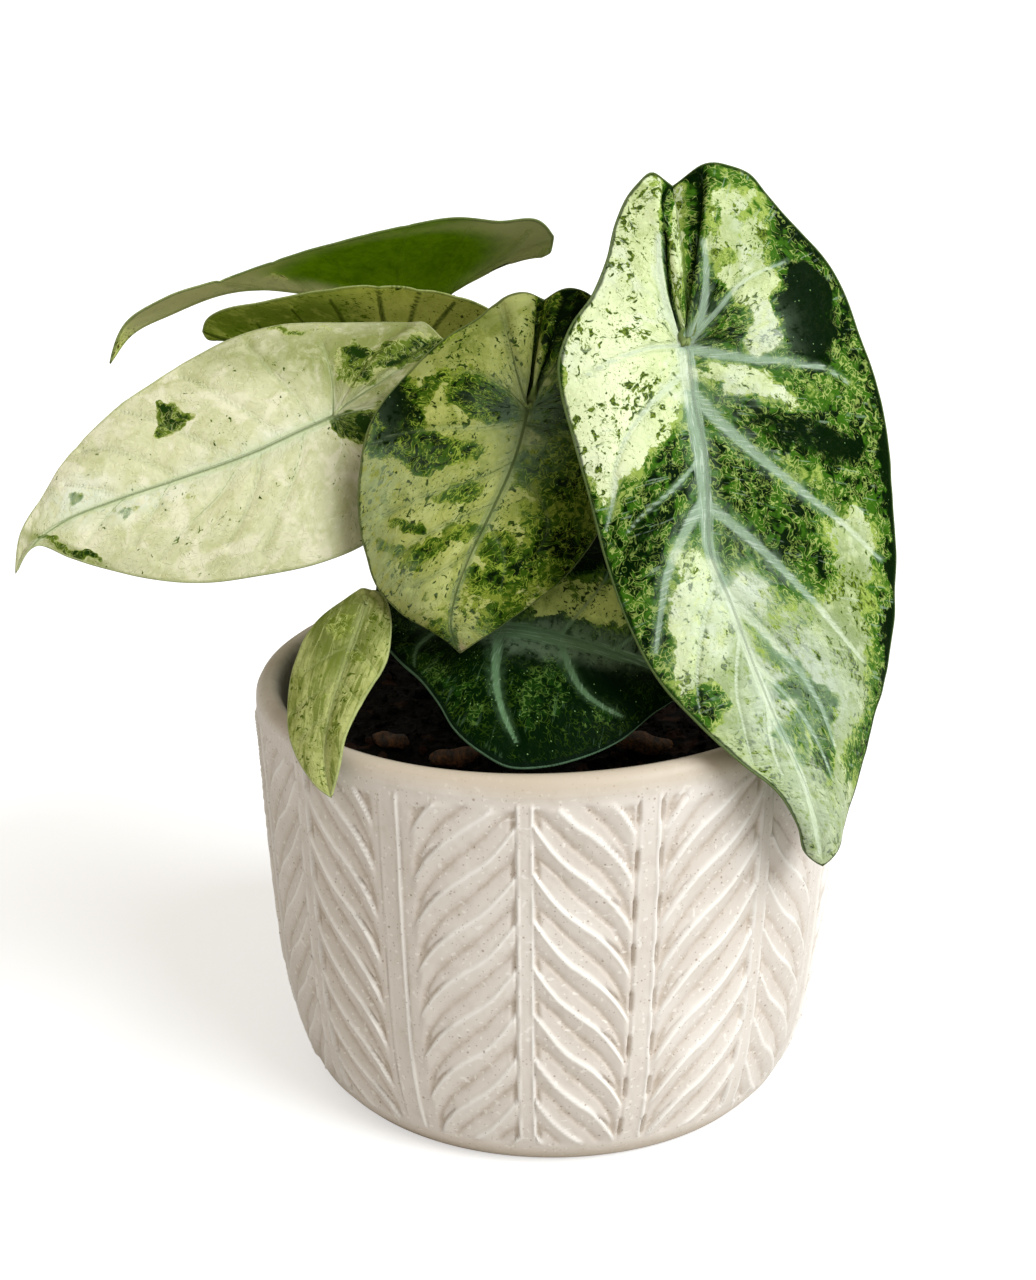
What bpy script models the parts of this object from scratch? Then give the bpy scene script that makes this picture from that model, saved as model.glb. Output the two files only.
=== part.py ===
"""Potted leafy house plant: a round ceramic pot with a leaf relief, potting
soil, a corm, seven blades on stalks and loose bark.

Metres, +Z up, the pot axis at x = y = 0 and its flat base at z = 0.  The front
faces -Y.  Every separate physical piece is one closed object.
"""
import math
import bpy
import numpy as np

for ob in list(bpy.data.objects):
    bpy.data.objects.remove(ob, do_unlink=True)


# ---- driving dimensions (metres) ----
RIM_R = 0.0650          # outer radius of the rim
POT_H = 0.0943          # height of the rim above the base, on the axis
RIM_SLOPE = 0.040       # the hand-made rim runs a little higher on the right
INNER_R = 0.0590        # mouth radius

# ---- front drawing sheet ----
# Leaf outlines are drawn on a front sheet, 1036 units wide and 1280 high, as
# seen from a sight point in front of the pot and above it.  Each drawn point
# is (across, down, depth), with its depth in millimetres behind the pot axis.
SIGHT = (-0.0073, -0.493, 0.281)
SIGHT_TILT = math.radians(20.21)
SHEET_F = 2400.0

def sight(u, v, depth_mm):
    c, s = math.cos(SIGHT_TILT), math.sin(SIGHT_TILT)
    a = (u - 518.0) / SHEET_F
    b = (640.0 - v) / SHEET_F
    d = np.array([a, c + b * s, b * c - s])
    k = (depth_mm * 0.001 - SIGHT[1]) / d[1]
    return np.array(SIGHT) + d * k

def smooth_curve(pts, n_or_q, q_of=None):
    """Catmull-Rom through pts, read at chord-length positions."""
    p = np.asarray(pts, float)
    seg = np.linalg.norm(np.diff(p[:, :3], axis=0), axis=1) ** 0.75
    q = np.concatenate([[0], np.cumsum(seg)])
    q /= q[-1]
    m = np.zeros_like(p)
    for i in range(1, len(p) - 1):
        h0, h1 = q[i] - q[i - 1], q[i + 1] - q[i]
        d0, d1 = (p[i] - p[i - 1]) / h0, (p[i + 1] - p[i]) / h1
        m[i] = (d0 * h1 + d1 * h0) / (h0 + h1)
    m[0] = 1.5 * (p[1] - p[0]) / (q[1] - q[0]) - 0.5 * m[1]
    m[-1] = 1.5 * (p[-1] - p[-2]) / (q[-1] - q[-2]) - 0.5 * m[-2]
    x = np.asarray(n_or_q, float)
    k = np.clip(np.searchsorted(q, x, side='right') - 1, 0, len(q) - 2)
    h = (q[k + 1] - q[k])[:, None]
    t = ((x - q[k]) / (q[k + 1] - q[k]))[:, None]
    h00 = 2 * t**3 - 3 * t**2 + 1
    h10 = t**3 - 2 * t**2 + t
    h01 = -2 * t**3 + 3 * t**2
    h11 = t**3 - t**2
    return h00 * p[k] + h10 * h * m[k] + h01 * p[k + 1] + h11 * h * m[k + 1], q

def unit(a):
    return a / np.maximum(np.linalg.norm(a, axis=-1, keepdims=True), 1e-12)

def leaf_columns(leaf, n_fan, n_body):
    """Midrib and margin points of both halves, and how far along the midrib
    each column starts."""
    mid = np.array([sight(*p) for p in leaf['mid']])
    mm = np.linspace(0, 1, n_body + 1)
    mpts, _ = smooth_curve(mid, mm)
    sides = []
    for key in ('right', 'left'):
        rows = leaf[key]
        pts = [sight(*leaf['notch'])] + [sight(*r[1:4]) for r in rows] + [mid[-1]]
        ms = np.array([0.0] + [r[0] for r in rows] + [1.0])
        _, q = smooth_curve(pts, [0.0])
        last0 = np.nonzero(ms <= 0)[0].max()
        qf = q[last0]
        qs = np.concatenate([np.linspace(0, qf, n_fan + 1),
                             np.interp(mm[1:], ms[last0:], q[last0:])])
        # even out the station spacing so no column kinks
        for _ in range(2):
            tail = qs[n_fan:]
            tail[1:-1] = 0.5 * tail[1:-1] + 0.25 * (tail[:-2] + tail[2:])
            qs[n_fan:] = tail
        edge, _ = smooth_curve(pts, qs)
        sides.append((qs, edge))
    return mpts, mm, sides

def leaf_grid(leaf, n_fan, n_body, n_t, fine=False):
    """Mid-surface points of a blade: for each half a grid
    [column from notch to tip][row from midrib to margin]."""
    mpts, mm, sides = leaf_columns(leaf, n_fan, n_body)
    base = np.concatenate([np.repeat(mpts[:1], n_fan, 0), mpts])
    m_all = np.concatenate([np.zeros(n_fan), mm])
    t = np.linspace(0, 1, n_t + 1)
    out = []
    for k, (qs, edge) in enumerate(sides):
        rib = edge - base
        w = np.linalg.norm(rib, axis=1)
        tan = np.gradient(edge, axis=0)
        nrm = np.cross(tan, rib) if k == 0 else np.cross(rib, tan)
        nrm = unit(nrm) * leaf.get('face', 1)
        nrm[-1] = nrm[-2]
        for _ in range(2 + (12 if fine else 2)):
            nrm[1:-1] = unit(0.5 * nrm[1:-1] + 0.25 * (nrm[:-2] + nrm[2:]))
        cam = leaf['camber'][k]
        fan = np.clip(1 - np.arange(len(base)) / n_fan, 0, 1)   # 1 at the seam
        r = 1 - fan
        bulge = cam * np.sin(np.pi * t)[None, :] * w[:, None]
        fold = leaf.get('fold', 0.0) * 0.001
        ridge = (np.exp(-((r - 0.16) / 0.09) ** 2) - 0.9 * np.exp(-(r / 0.07) ** 2))
        ridge = np.where(np.arange(len(base)) <= n_fan, ridge, 0)
        fold_h = fold * ridge[:, None] * (np.sin(np.pi * np.clip(t, 0, 1) * 0.5) ** 1.0)[None, :]
        P = (base[:, None, :] + rib[:, None, :] * t[None, :, None]
             + nrm[:, None, :] * (bulge + fold_h)[..., None])
        out.append(P)
    # both halves meet on one seam line
    seam = 0.5 * (out[0][0] + out[1][0])
    out[0][0] = seam
    out[1][0] = seam
    return out, base, m_all

LEAVES = {
 'leaf_large_right': dict(
  mid=[(686,348,-24),(693,405,-30),(703,451,-34),(706,507,-38),(708,550,-41),(729,602,-45),
       (752,664,-49),(775,720,-53),(803,781,-55),(820,837,-53),(822,865,-51)],
  notch=(674,187,-7),
  right=[(0,699,172,-4),(0,724,169,-4),(0,747,175,-5),(0,766,197,-6),(0,800,235,-8),(0,829,266,-10),(0.0,858,333,-14),
         (0.06,877,400,-18),(0.17,887,470,-21),(0.27,892,540,-24),(0.36,892,585,-26),(0.47,886,645,-29),
         (0.57,877,695,-32),(0.72,859,762,-37),(0.86,844,820,-44),(0.95,836,852,-49)],
  left=[(0,661,181,-6),(0,648,179,-6),(0,633,192,-9),(0,616,225,-14),(0,607,262,-19),(0,592,298,-23),(0,570,330,-27),
        (0,559,365,-30),(0.04,562,395,-32),(0.12,574,440,-36),(0.22,590,500,-41),(0.33,606,560,-45),
        (0.44,630,628,-49),(0.55,660,682,-54),(0.66,698,724,-58.5),(0.76,738,761,-60.5),(0.85,778,793,-60),
        (0.93,798,825,-57),(0.975,806,853,-53)],
  camber=(0.10,0.10), fold=2.4, thick=0.8),
 'leaf_centre': dict(
  mid=[(527,411,-18),(513,460,-24),(492,508,-30),(468,556,-35),(454,597,-38),(450,625,-39),(460,653,-38)],
  notch=(545,300,-4),
  right=[(0,562,294,-3),(0,584,294,-3),(0,604,315,-4),(0,618,362,-6),(0,624,412,-9),(0.08,622,458,-12),(0.22,612,498,-16),
         (0.40,594,534,-22),(0.55,573,562,-27),(0.70,545,590,-31),(0.86,500,624,-36),(0.94,474,642,-38)],
  left=[(0,528,296,-3),(0,505,302,-4),(0,480,320,-6),(0,440,345,-10),(0,410,375,-14),(0,385,405,-18),(0.0,370,432,-21),
        (0.10,362,470,-24),(0.24,360,510,-27),(0.42,365,550,-30),(0.60,378,588,-33),(0.76,401,611,-35),
        (0.88,430,629,-37),(0.95,448,642,-38)],
  camber=(0.10,0.12), fold=1.6, thick=0.8),
 'leaf_left': dict(
  mid=[(333,417,-6),(306,429,-10),(249,455,-17),(172,482,-23),(115,501,-28),(60,523,-32),(28,545,-34),(16,573,-35)],
  notch=(442,338,9),
  right=[(0,420,327,13),(0,398,325,14),(0,350,325,14),(0,300,326,12),(0.08,250,333,8),(0.24,202,355,2),(0.42,153,388,-6),
         (0.56,110,418,-13),(0.72,73,455,-20),(0.86,42,500,-28),(0.94,22,533,-33)],
  left=[(0,452,365,4),(0,450,405,-3),(0,435,455,-10),(0,410,505,-16),(0.0,365,543,-21),(0.10,320,562,-25),(0.24,260,575,-29),
        (0.38,205,582,-31),(0.52,150,578,-33),(0.66,105,568,-34),(0.80,70,557,-35),(0.92,36,545,-35)],
  camber=(0.08,0.08), fold=1.2, thick=0.8, face=-1),
 'leaf_top_back': dict(
  mid=[(446,296,57),(405,299,57),(360,298,55),(314,293,51),(259,288,46),(222,293,42),(173,312,37),(131,334,33),(110,363,29)],
  notch=(549,251,40),
  right=[(0,552,237,34),(0,538,222,31),(0,497,223,30),(0.0,459,219,29),(0.16,384,232,28),(0.36,316,250,27),(0.58,231,278,27),
         (0.74,168,298,27),(0.87,126,324,28)],
  left=[(0,548,242,60),(0,530,236,74),(0,490,236,84),(0.0,440,240,90),(0.16,380,248,90),(0.36,314,262,84),(0.58,229,286,70),
        (0.74,172,303,54),(0.87,132,329,39)],
  camber=(0.05,0.05), fold=0.8, thick=0.8, face=1),
 'leaf_second_back': dict(
  mid=[(466,352,26),(420,354,28),(360,352,29),(300,348,29),(250,344,27),(203,331,24)],
  notch=(500,330,20),
  right=[(0,494,315,16),(0,472,303,14),(0,424,291,13),(0.10,366,287,13),(0.34,320,292,14),(0.62,266,303,17),(0.84,220,312,20),(0.94,207,320,22)],
  left=[(0,498,326,27),(0,480,317,35),(0,440,310,41),(0.10,380,309,43),(0.34,325,313,42),(0.62,270,326,34),(0.84,224,339,28),(0.94,208,339,25)],
  camber=(0.05,0.05), fold=0.6, thick=0.8, face=1),
 'leaf_low_centre': dict(
  mid=[(488,627,-22),(527,630,-26),(578,642,-31),(630,660,-35),(668,674,-37),(697,684,-37)],
  notch=(377,603,-14),
  right=[(0,380,585,-10),(0,396,564,-6),(0,430,545,-4),(0,480,532,-4),(0.16,540,526,-5),(0.40,600,534,-8),(0.62,643,566,-14),
         (0.80,673,612,-23),(0.93,691,652,-31)],
  left=[(0,377,620,-16),(0,386,644,-21),(0,402,664,-27),(0,423,683,-33),(0,441,706,-40),(0.06,456,731,-46),(0.14,480,753,-51),
        (0.26,508,768,-53.5),(0.38,542,768,-53.5),(0.54,582,758,-52),(0.70,621,740,-49),(0.84,655,712,-44),(0.94,682,694,-39)],
  camber=(0.10,0.10), fold=1.0, thick=0.8),
 'leaf_small_left': dict(
  mid=[(366,604,-31),(352,645,-35),(340,680,-39),(330,715,-44),(325,745,-48),(326,772,-52),(331,797,-54)],
  notch=(371,590,-29),
  right=[(0,384,597,-30),(0,390,616,-32),(0.10,390,640,-35),(0.24,386,662,-38),(0.42,371,688,-42),(0.58,357,712,-46),(0.72,345,738,-50),
         (0.84,340,764,-53),(0.93,335,784,-54)],
  left=[(0,360,591,-28),(0,344,602,-28),(0,325,617,-29),(0.14,306,640,-31),(0.32,297,664,-33),(0.50,291,700,-36.5),(0.66,292,738,-43),
        (0.82,305,770,-50),(0.92,318,787,-53)],
  camber=(0.08,0.08), fold=0.5, thick=0.8),
}

STEMS = {
 # root and lean in metres; neck is how far the stalk runs square to the blade
 'stem_large_right': dict(leaf='leaf_large_right', root=(0.0080,0.0120), lean=(0.014,0.026,0.135), neck=0.020, r0=0.0030, r1=0.0020),
 'stem_centre': dict(leaf='leaf_centre', root=(-0.0010,0.0080), lean=(0.000,0.018,0.130), neck=0.018, r0=0.0028, r1=0.0018),
 'stem_left': dict(leaf='leaf_left', root=(-0.0100,0.0120), lean=(-0.018,0.020,0.115), neck=0.016, r0=0.0028, r1=0.0018),
 'stem_top_back': dict(leaf='leaf_top_back', root=(0.0040,0.0220), lean=(0.006,0.036,0.125), neck=0.016, r0=0.0027, r1=0.0017),
 'stem_second_back': dict(leaf='leaf_second_back', root=(-0.0060,0.0210), lean=(-0.004,0.020,0.120), neck=0.014, r0=0.0027, r1=0.0017),
 'stem_low_centre': dict(leaf='leaf_low_centre', root=(-0.0050,0.0000), lean=(-0.006,-0.002,0.094), neck=0.008, r0=0.0024, r1=0.0016),
 'stem_small_left': dict(leaf='leaf_small_left', root=(-0.0150,0.0060), lean=(-0.060,-0.004,0.102), neck=0.004, r0=0.0020, r1=0.0013),
}

SOIL_TOP = 0.0820
CORM_TOP = 0.0885
GAP = 0.0003

def leaf_frame(leaf):
    """Junction point and the upper-face normal there."""
    out, base, m = leaf_grid(leaf, 12, 24, 4)
    acc = np.zeros(3)
    for k, P in enumerate(out):
        for i in range(2, 16):
            rib = P[i, 1] - P[i, 0]
            tan = P[i + 1, 1] - P[i - 1, 1]
            n = np.cross(tan, rib) if k == 0 else np.cross(rib, tan)
            acc += unit(n) * leaf.get('face', 1)
    return base[0], unit(acc)

def stem_path(stem, n):
    leaf = LEAVES[stem['leaf']]
    j, nrm = leaf_frame(leaf)
    p0 = np.array([stem['root'][0], stem['root'][1], CORM_TOP + GAP])
    p3 = j - nrm * (leaf['thick'] * 0.0005 + stem.get('stand', 0.0008))
    p2 = p3 - nrm * stem['neck']
    p1 = np.array(stem['lean'])
    t = np.linspace(0, 1, n)[:, None]
    # start upright
    a = p0 + np.array([0, 0, max(0.006, 0.35 * (p1[2] - p0[2]))])
    pts = [p0, a, p1, p2, p3]
    c = [1, 4, 6, 4, 1]
    path = sum(c[k] * (1 - t)**(4 - k) * t**k * pts[k] for k in range(5))
    r = stem['r0'] + (stem['r1'] - stem['r0']) * np.linspace(0, 1, n)
    return path, r

# ---- pot dimensions (metres) ----
RELIEF_UP = 0.0007      # how far the relief stands out of the plain wall
STEM_UP = 0.0006        # how far the upright stems stand out of the relief
BAND_LOW = 0.0070       # where the relief starts above the base
BAND_HIGH = 0.0800      # where it ends under the rim
FLOOR = 0.0070          # pot floor thickness
# upright stems of the relief, degrees from the front, measured on the front
# side and spread evenly over the back
STEMS_AT = [-53.8, -31.0, -5.3, 19.8, 42.6, 65.6] + [65.6 + (240.6 / 11.0) * k for k in range(1, 11)]
# outer wall, base to rim: (radius, height)
WALL = [(0.0490, 0.0000), (0.0508, 0.0006), (0.0522, 0.0020), (0.0541, 0.0042), (0.0554, 0.0070),
        (0.0568, 0.0108), (0.0586, 0.0170), (0.0602, 0.0250), (0.0614, 0.0350), (0.0622, 0.0450),
        (0.0630, 0.0570), (0.0637, 0.0690), (0.0643, 0.0800), (0.0647, 0.0860), (0.0649, 0.0905)]
LIP = [(0.0645, 0.0926), (0.0634, 0.0940), (0.0618, 0.0943), (0.0603, 0.0939), (0.0594, 0.0927)]
INSIDE = [(0.0590, 0.0900), (0.0586, 0.0800), (0.0576, 0.0600), (0.0562, 0.0420), (0.0545, 0.0280),
          (0.0520, 0.0180), (0.0480, 0.0110), (0.0430, 0.0076)]

MATERIALS = {
    'ceramic': ((0.72, 0.66, 0.58, 1), 0.45),
    'soil': ((0.018, 0.012, 0.009, 1), 0.95),
    'bark': ((0.10, 0.055, 0.032, 1), 0.85),
    'corm': ((0.16, 0.13, 0.06, 1), 0.7),
    'stalk': ((0.16, 0.26, 0.09, 1), 0.5),
    'leaf_cream': ((0.62, 0.66, 0.42, 1), 0.45),
    'leaf_green': ((0.05, 0.14, 0.04, 1), 0.45),
    'leaf_mixed': ((0.28, 0.38, 0.14, 1), 0.45),
}
_mats = {}

def material(name):
    if name not in _mats:
        m = bpy.data.materials.new(name)
        m.use_nodes = True
        b = next(n for n in m.node_tree.nodes if n.type == 'BSDF_PRINCIPLED')
        b.inputs['Base Color'].default_value = MATERIALS[name][0]
        b.inputs['Roughness'].default_value = MATERIALS[name][1]
        _mats[name] = m
    return _mats[name]

def split_quads(v, faces):
    """Every quad becomes two triangles on its shorter diagonal."""
    out = []
    for f in faces:
        g = [f[0]]
        for a in f[1:]:
            if a != g[-1]:
                g.append(a)
        if len(g) > 1 and g[0] == g[-1]:
            g.pop()
        if len(g) == 3:
            out.append(tuple(g))
        elif len(g) == 4:
            a, b, c, d = g
            if np.linalg.norm(v[a] - v[c]) <= np.linalg.norm(v[b] - v[d]):
                out += [(a, b, c), (a, c, d)]
            else:
                out += [(a, b, d), (b, c, d)]
    return out

def add_object(name, verts, faces, mat, smooth=True):
    me = bpy.data.meshes.new(name)
    me.from_pydata([tuple(float(c) for c in p) for p in verts], [], [tuple(int(i) for i in f) for f in faces])
    me.validate()
    me.update()
    ob = bpy.data.objects.new(name, me)
    bpy.context.scene.collection.objects.link(ob)
    ob.data.materials.append(material(mat))
    for p in me.polygons:
        p.use_smooth = smooth
    return ob

def blade_index(n_fan, n_body, n_t):
    """Vertex numbers of both halves of a blade; the midrib, the seam between
    the basal lobes and the tip are shared."""
    last = n_fan + n_body
    junction, tip = 0, 1
    count = 2
    mid = {}
    for i in range(n_fan + 1, last):
        mid[i] = count
        count += 1
    seam = {}
    for j in range(1, n_t + 1):
        seam[j] = count
        count += 1
    idx = np.zeros((2, last + 1, n_t + 1), int)
    for k in range(2):
        for i in range(last + 1):
            for j in range(n_t + 1):
                if i == last:
                    v = tip
                elif j == 0:
                    v = junction if i <= n_fan else mid[i]
                elif i == 0:
                    v = seam[j]
                else:
                    v = count
                    count += 1
                idx[k, i, j] = v
    return idx, count

def blade_solid(leaf, n_fan, n_body, n_t):
    out, base, _ = leaf_grid(leaf, n_fan, n_body, n_t)
    idx, count = blade_index(n_fan, n_body, n_t)
    mid_surface = np.zeros((count, 3))
    for k in range(2):
        mid_surface[idx[k].ravel()] = out[k].reshape(-1, 3)
    quads = []
    flip = leaf.get('face', 1) < 0
    for k in range(2):
        a = idx[k]
        for i in range(a.shape[0] - 1):
            for j in range(a.shape[1] - 1):
                q = (a[i, j], a[i + 1, j], a[i + 1, j + 1], a[i, j + 1])
                if (k == 1) != flip:
                    q = q[::-1]
                quads.append(q)
    tris = split_quads(mid_surface, quads)
    t = np.array(tris)
    n = np.cross(mid_surface[t[:, 1]] - mid_surface[t[:, 0]], mid_surface[t[:, 2]] - mid_surface[t[:, 0]])
    vn = np.zeros_like(mid_surface)
    for c in range(3):
        np.add.at(vn, t[:, c], n)
    vn = unit(vn)
    half = leaf['thick'] * 0.0005
    edge = np.zeros(count, bool)
    edge[idx[:, :, -1].ravel()] = True
    h = np.where(edge, half * 0.6, half)[:, None]
    verts = np.concatenate([mid_surface + vn * h, mid_surface - vn * h])
    faces = [tuple(f) for f in t] + [tuple(x + count for x in f[::-1]) for f in t]
    directed = set()
    for f in tris:
        for c in range(3):
            directed.add((f[c], f[(c + 1) % 3]))
    for a, b in sorted(directed):
        if (b, a) not in directed:
            faces += [(b, a, a + count), (b, a + count, b + count)]
    return verts, faces

def tube(path, radius, sides):
    """A stalk: rings square to its path, closed at both ends."""
    n = len(path)
    tan = unit(np.gradient(path, axis=0))
    tan[0] = (0.0, 0.0, 1.0)
    ref = np.array([1.0, 0.0, 0.0])
    verts, faces = [], []
    u = None
    for i in range(n):
        if u is None:
            u = ref - tan[i] * np.dot(ref, tan[i])
        else:
            u = u - tan[i] * np.dot(u, tan[i])
        u = u / np.linalg.norm(u)
        w = np.cross(tan[i], u)
        for k in range(sides):
            a = 2 * math.pi * k / sides
            verts.append(path[i] + radius[i] * (u * math.cos(a) + w * math.sin(a)))
    for i in range(n - 1):
        for k in range(sides):
            a, b = i * sides + k, i * sides + (k + 1) % sides
            faces.append((a, b, b + sides, a + sides))
    v = np.array(verts)
    faces = split_quads(v, faces)
    faces.append(tuple(range(sides - 1, -1, -1)))
    faces.append(tuple((n - 1) * sides + k for k in range(sides)))
    return v, faces

def revolve(profile, segments, cx=0.0, cy=0.0, flat_ends=True, shape=None):
    """A closed body turned from a profile that runs from the bottom centre
    outwards, up and back in to the top centre (end radii above zero, closed
    by flat caps)."""
    verts, faces = [], []
    n = len(profile)
    for i, (r, z) in enumerate(profile):
        for k in range(segments):
            a = 2 * math.pi * k / segments
            rr, zz = (r, z) if shape is None else shape(i, a, r, z)
            verts.append((cx + rr * math.cos(a), cy + rr * math.sin(a), zz))
    for i in range(n - 1):
        for k in range(segments):
            a, b = i * segments + k, i * segments + (k + 1) % segments
            faces.append((a, b, b + segments, a + segments))
    v = np.array(verts)
    faces = split_quads(v, faces)
    faces.append(tuple(range(segments - 1, -1, -1)))
    faces.append(tuple((n - 1) * segments + k for k in range(segments)))
    return v, faces

# ---- pot ----
def pot_columns():
    """Angles of the mesh columns: each upright stem has its two edges and the
    foot of its two sides, and each panel between stems has two columns."""
    cols = []
    half = math.degrees(0.0019 / 0.0620)
    foot = math.degrees(0.0027 / 0.0620)
    n = len(STEMS_AT)
    for i, a in enumerate(STEMS_AT):
        b = STEMS_AT[(i + 1) % n] + (360.0 if i == n - 1 else 0.0)
        cols += [(a - half, 1), (a + half, 1), (a + foot, 0)]
        span = (b - foot) - (a + foot)
        cols += [(a + foot + span / 3.0, 0), (a + foot + 2.0 * span / 3.0, 0), (b - foot, 0)]
    return cols

def pot_solid():
    cols = pot_columns()
    rings = []
    for r, z in WALL:
        on = BAND_LOW + 0.001 < z < BAND_HIGH - 0.001
        rings.append((r, z, on))
    rings += [(r, z, False) for r, z in LIP + INSIDE]
    verts, faces = [], []
    m = len(cols)
    for r, z, on in rings:
        for ang, raised in cols:
            a = math.radians(ang - 90.0)
            rr = r
            if on:
                rr = r + (STEM_UP if raised else 0.0)
            x, y = rr * math.cos(a), rr * math.sin(a)
            zz = z * (1.0 + RIM_SLOPE * x / POT_H)
            verts.append((x, y, zz))
    n = len(rings)
    for i in range(n - 1):
        for k in range(m):
            a, b = i * m + k, i * m + (k + 1) % m
            faces.append((a, b, b + m, a + m))
    v = np.array(verts)
    faces = split_quads(v, faces)
    faces.append(tuple(range(m - 1, -1, -1)))
    # floor: a centre point closes it
    c = len(v)
    v = np.vstack([v, [0.0, 0.0, FLOOR]])
    for k in range(m):
        a, b = (n - 1) * m + k, (n - 1) * m + (k + 1) % m
        faces.append((a, b, c))
    return v, faces

def inside_radius(z):
    p = sorted((zz, rr) for rr, zz in INSIDE)
    return float(np.interp(z, [a[0] for a in p], [a[1] for a in p]))

v, f = pot_solid()
add_object('pot', v, f, 'ceramic')

# ---- potting soil ----
soil = [(0.0400, 0.0090), (0.0445, 0.0105)]
for z in (0.0130, 0.0180, 0.0280, 0.0420, 0.0600, 0.0790):
    soil.append((inside_radius(z * 0.96 - 0.0006) - 0.0006, z))
soil += [(inside_radius(0.0790) - 0.0016, SOIL_TOP - 0.0006), (0.0530, SOIL_TOP)]
v, f = revolve(soil, 48)
add_object('potting_soil', v, f, 'soil')

# ---- corm ----
CORM_AT = (-0.0030, 0.0110)
corm = [(0.0140, SOIL_TOP + GAP), (0.0165, SOIL_TOP + 0.0018), (0.0172, SOIL_TOP + 0.0036),
        (0.0166, SOIL_TOP + 0.0054), (0.0155, CORM_TOP)]
v, f = revolve(corm, 28, CORM_AT[0], CORM_AT[1])
add_object('corm', v, f, 'corm')

# ---- blades and stalks ----
BLADE_MAT = {'leaf_large_right': 'leaf_mixed', 'leaf_centre': 'leaf_mixed', 'leaf_left': 'leaf_cream',
             'leaf_top_back': 'leaf_green', 'leaf_second_back': 'leaf_mixed', 'leaf_low_centre': 'leaf_green',
             'leaf_small_left': 'leaf_cream'}
BLADE_MESH = {'leaf_large_right': (9, 18, 7), 'leaf_centre': (9, 13, 6), 'leaf_left': (9, 15, 6),
              'leaf_top_back': (7, 15, 5), 'leaf_second_back': (7, 12, 4), 'leaf_low_centre': (8, 12, 6),
              'leaf_small_left': (5, 11, 4)}
for name, leaf in LEAVES.items():
    v, f = blade_solid(leaf, *BLADE_MESH[name])
    add_object(name, v, f, BLADE_MAT[name])
for name, stem in STEMS.items():
    path, radius = stem_path(stem, 15)
    v, f = tube(path, radius, 8)
    add_object(name, v, f, 'stalk')

# ---- bark chips: centre, length, width, thickness, turn in degrees ----
CHIPS = [(-0.0205, -0.0285, 0.0110, 0.0062, 0.0030, 20), (-0.0345, -0.0190, 0.0085, 0.0055, 0.0026, -35),
         (0.0195, -0.0215, 0.0125, 0.0060, 0.0034, 160), (0.0495, 0.0080, 0.0130, 0.0066, 0.0032, 82),
         (0.0400, -0.0060, 0.0090, 0.0060, 0.0028, 110), (-0.0500, 0.0080, 0.0120, 0.0062, 0.0030, 95),
         (0.0120, 0.0430, 0.0130, 0.0066, 0.0032, 10), (-0.0180, 0.0440, 0.0100, 0.0060, 0.0026, -20)]
for i, (cx, cy, ln, wd, th, turn) in enumerate(CHIPS):
    ring = []
    for k in range(7):
        a = 2 * math.pi * k / 7
        wob = 1.0 + 0.14 * math.sin(2.3 * k + 1.7 * i)
        ring.append((0.5 * ln * wob * math.cos(a), 0.5 * wd * wob * math.sin(a)))
    ca, sa = math.cos(math.radians(turn)), math.sin(math.radians(turn))
    z0 = SOIL_TOP + GAP
    vv = []
    for s, z in ((0.90, z0), (1.0, z0 + 0.45 * th), (0.72, z0 + th)):
        for k, (px, py) in enumerate(ring):
            lift = 0.0003 * math.sin(1.9 * k + i) if z > z0 else 0.0
            vv.append((cx + s * (px * ca - py * sa), cy + s * (px * sa + py * ca), z + lift))
    vv = np.array(vv)
    ff = []
    for r in range(2):
        for k in range(7):
            a, b = r * 7 + k, r * 7 + (k + 1) % 7
            ff.append((a, b, b + 7, a + 7))
    ff = split_quads(vv, ff)
    ff.append(tuple(range(6, -1, -1)))
    top = len(vv)
    vv = np.vstack([vv, vv[14:21].mean(0)])
    for k in range(7):
        ff.append((14 + k, 14 + (k + 1) % 7, top))
    add_object('bark_chip_%d' % (i + 1), vv, ff, 'bark', smooth=False)
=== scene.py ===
import math
import bpy
import numpy as np
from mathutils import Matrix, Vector


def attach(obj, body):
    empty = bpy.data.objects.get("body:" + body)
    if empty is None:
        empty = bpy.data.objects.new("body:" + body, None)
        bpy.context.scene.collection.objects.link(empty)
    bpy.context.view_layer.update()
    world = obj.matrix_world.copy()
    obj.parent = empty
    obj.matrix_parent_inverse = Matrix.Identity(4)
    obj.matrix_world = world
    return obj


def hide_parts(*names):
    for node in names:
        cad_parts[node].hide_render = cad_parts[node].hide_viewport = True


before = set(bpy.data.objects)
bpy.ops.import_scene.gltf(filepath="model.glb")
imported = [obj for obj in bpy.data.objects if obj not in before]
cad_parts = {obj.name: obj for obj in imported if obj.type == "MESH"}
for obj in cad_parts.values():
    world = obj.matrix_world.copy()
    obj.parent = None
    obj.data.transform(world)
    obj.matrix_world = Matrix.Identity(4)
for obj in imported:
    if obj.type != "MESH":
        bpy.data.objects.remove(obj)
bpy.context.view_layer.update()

# =====================================================================
# Drawing sheet and blade tables: the same ones as the CAD script uses
# =====================================================================

# ---- driving dimensions (metres) ----
RIM_R = 0.0650          # outer radius of the rim
POT_H = 0.0943          # height of the rim above the base, on the axis
RIM_SLOPE = 0.040       # the hand-made rim runs a little higher on the right
INNER_R = 0.0590        # mouth radius

# ---- front drawing sheet ----
# Leaf outlines are drawn on a front sheet, 1036 units wide and 1280 high, as
# seen from a sight point in front of the pot and above it.  Each drawn point
# is (across, down, depth), with its depth in millimetres behind the pot axis.
SIGHT = (-0.0073, -0.493, 0.281)
SIGHT_TILT = math.radians(20.21)
SHEET_F = 2400.0

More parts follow.
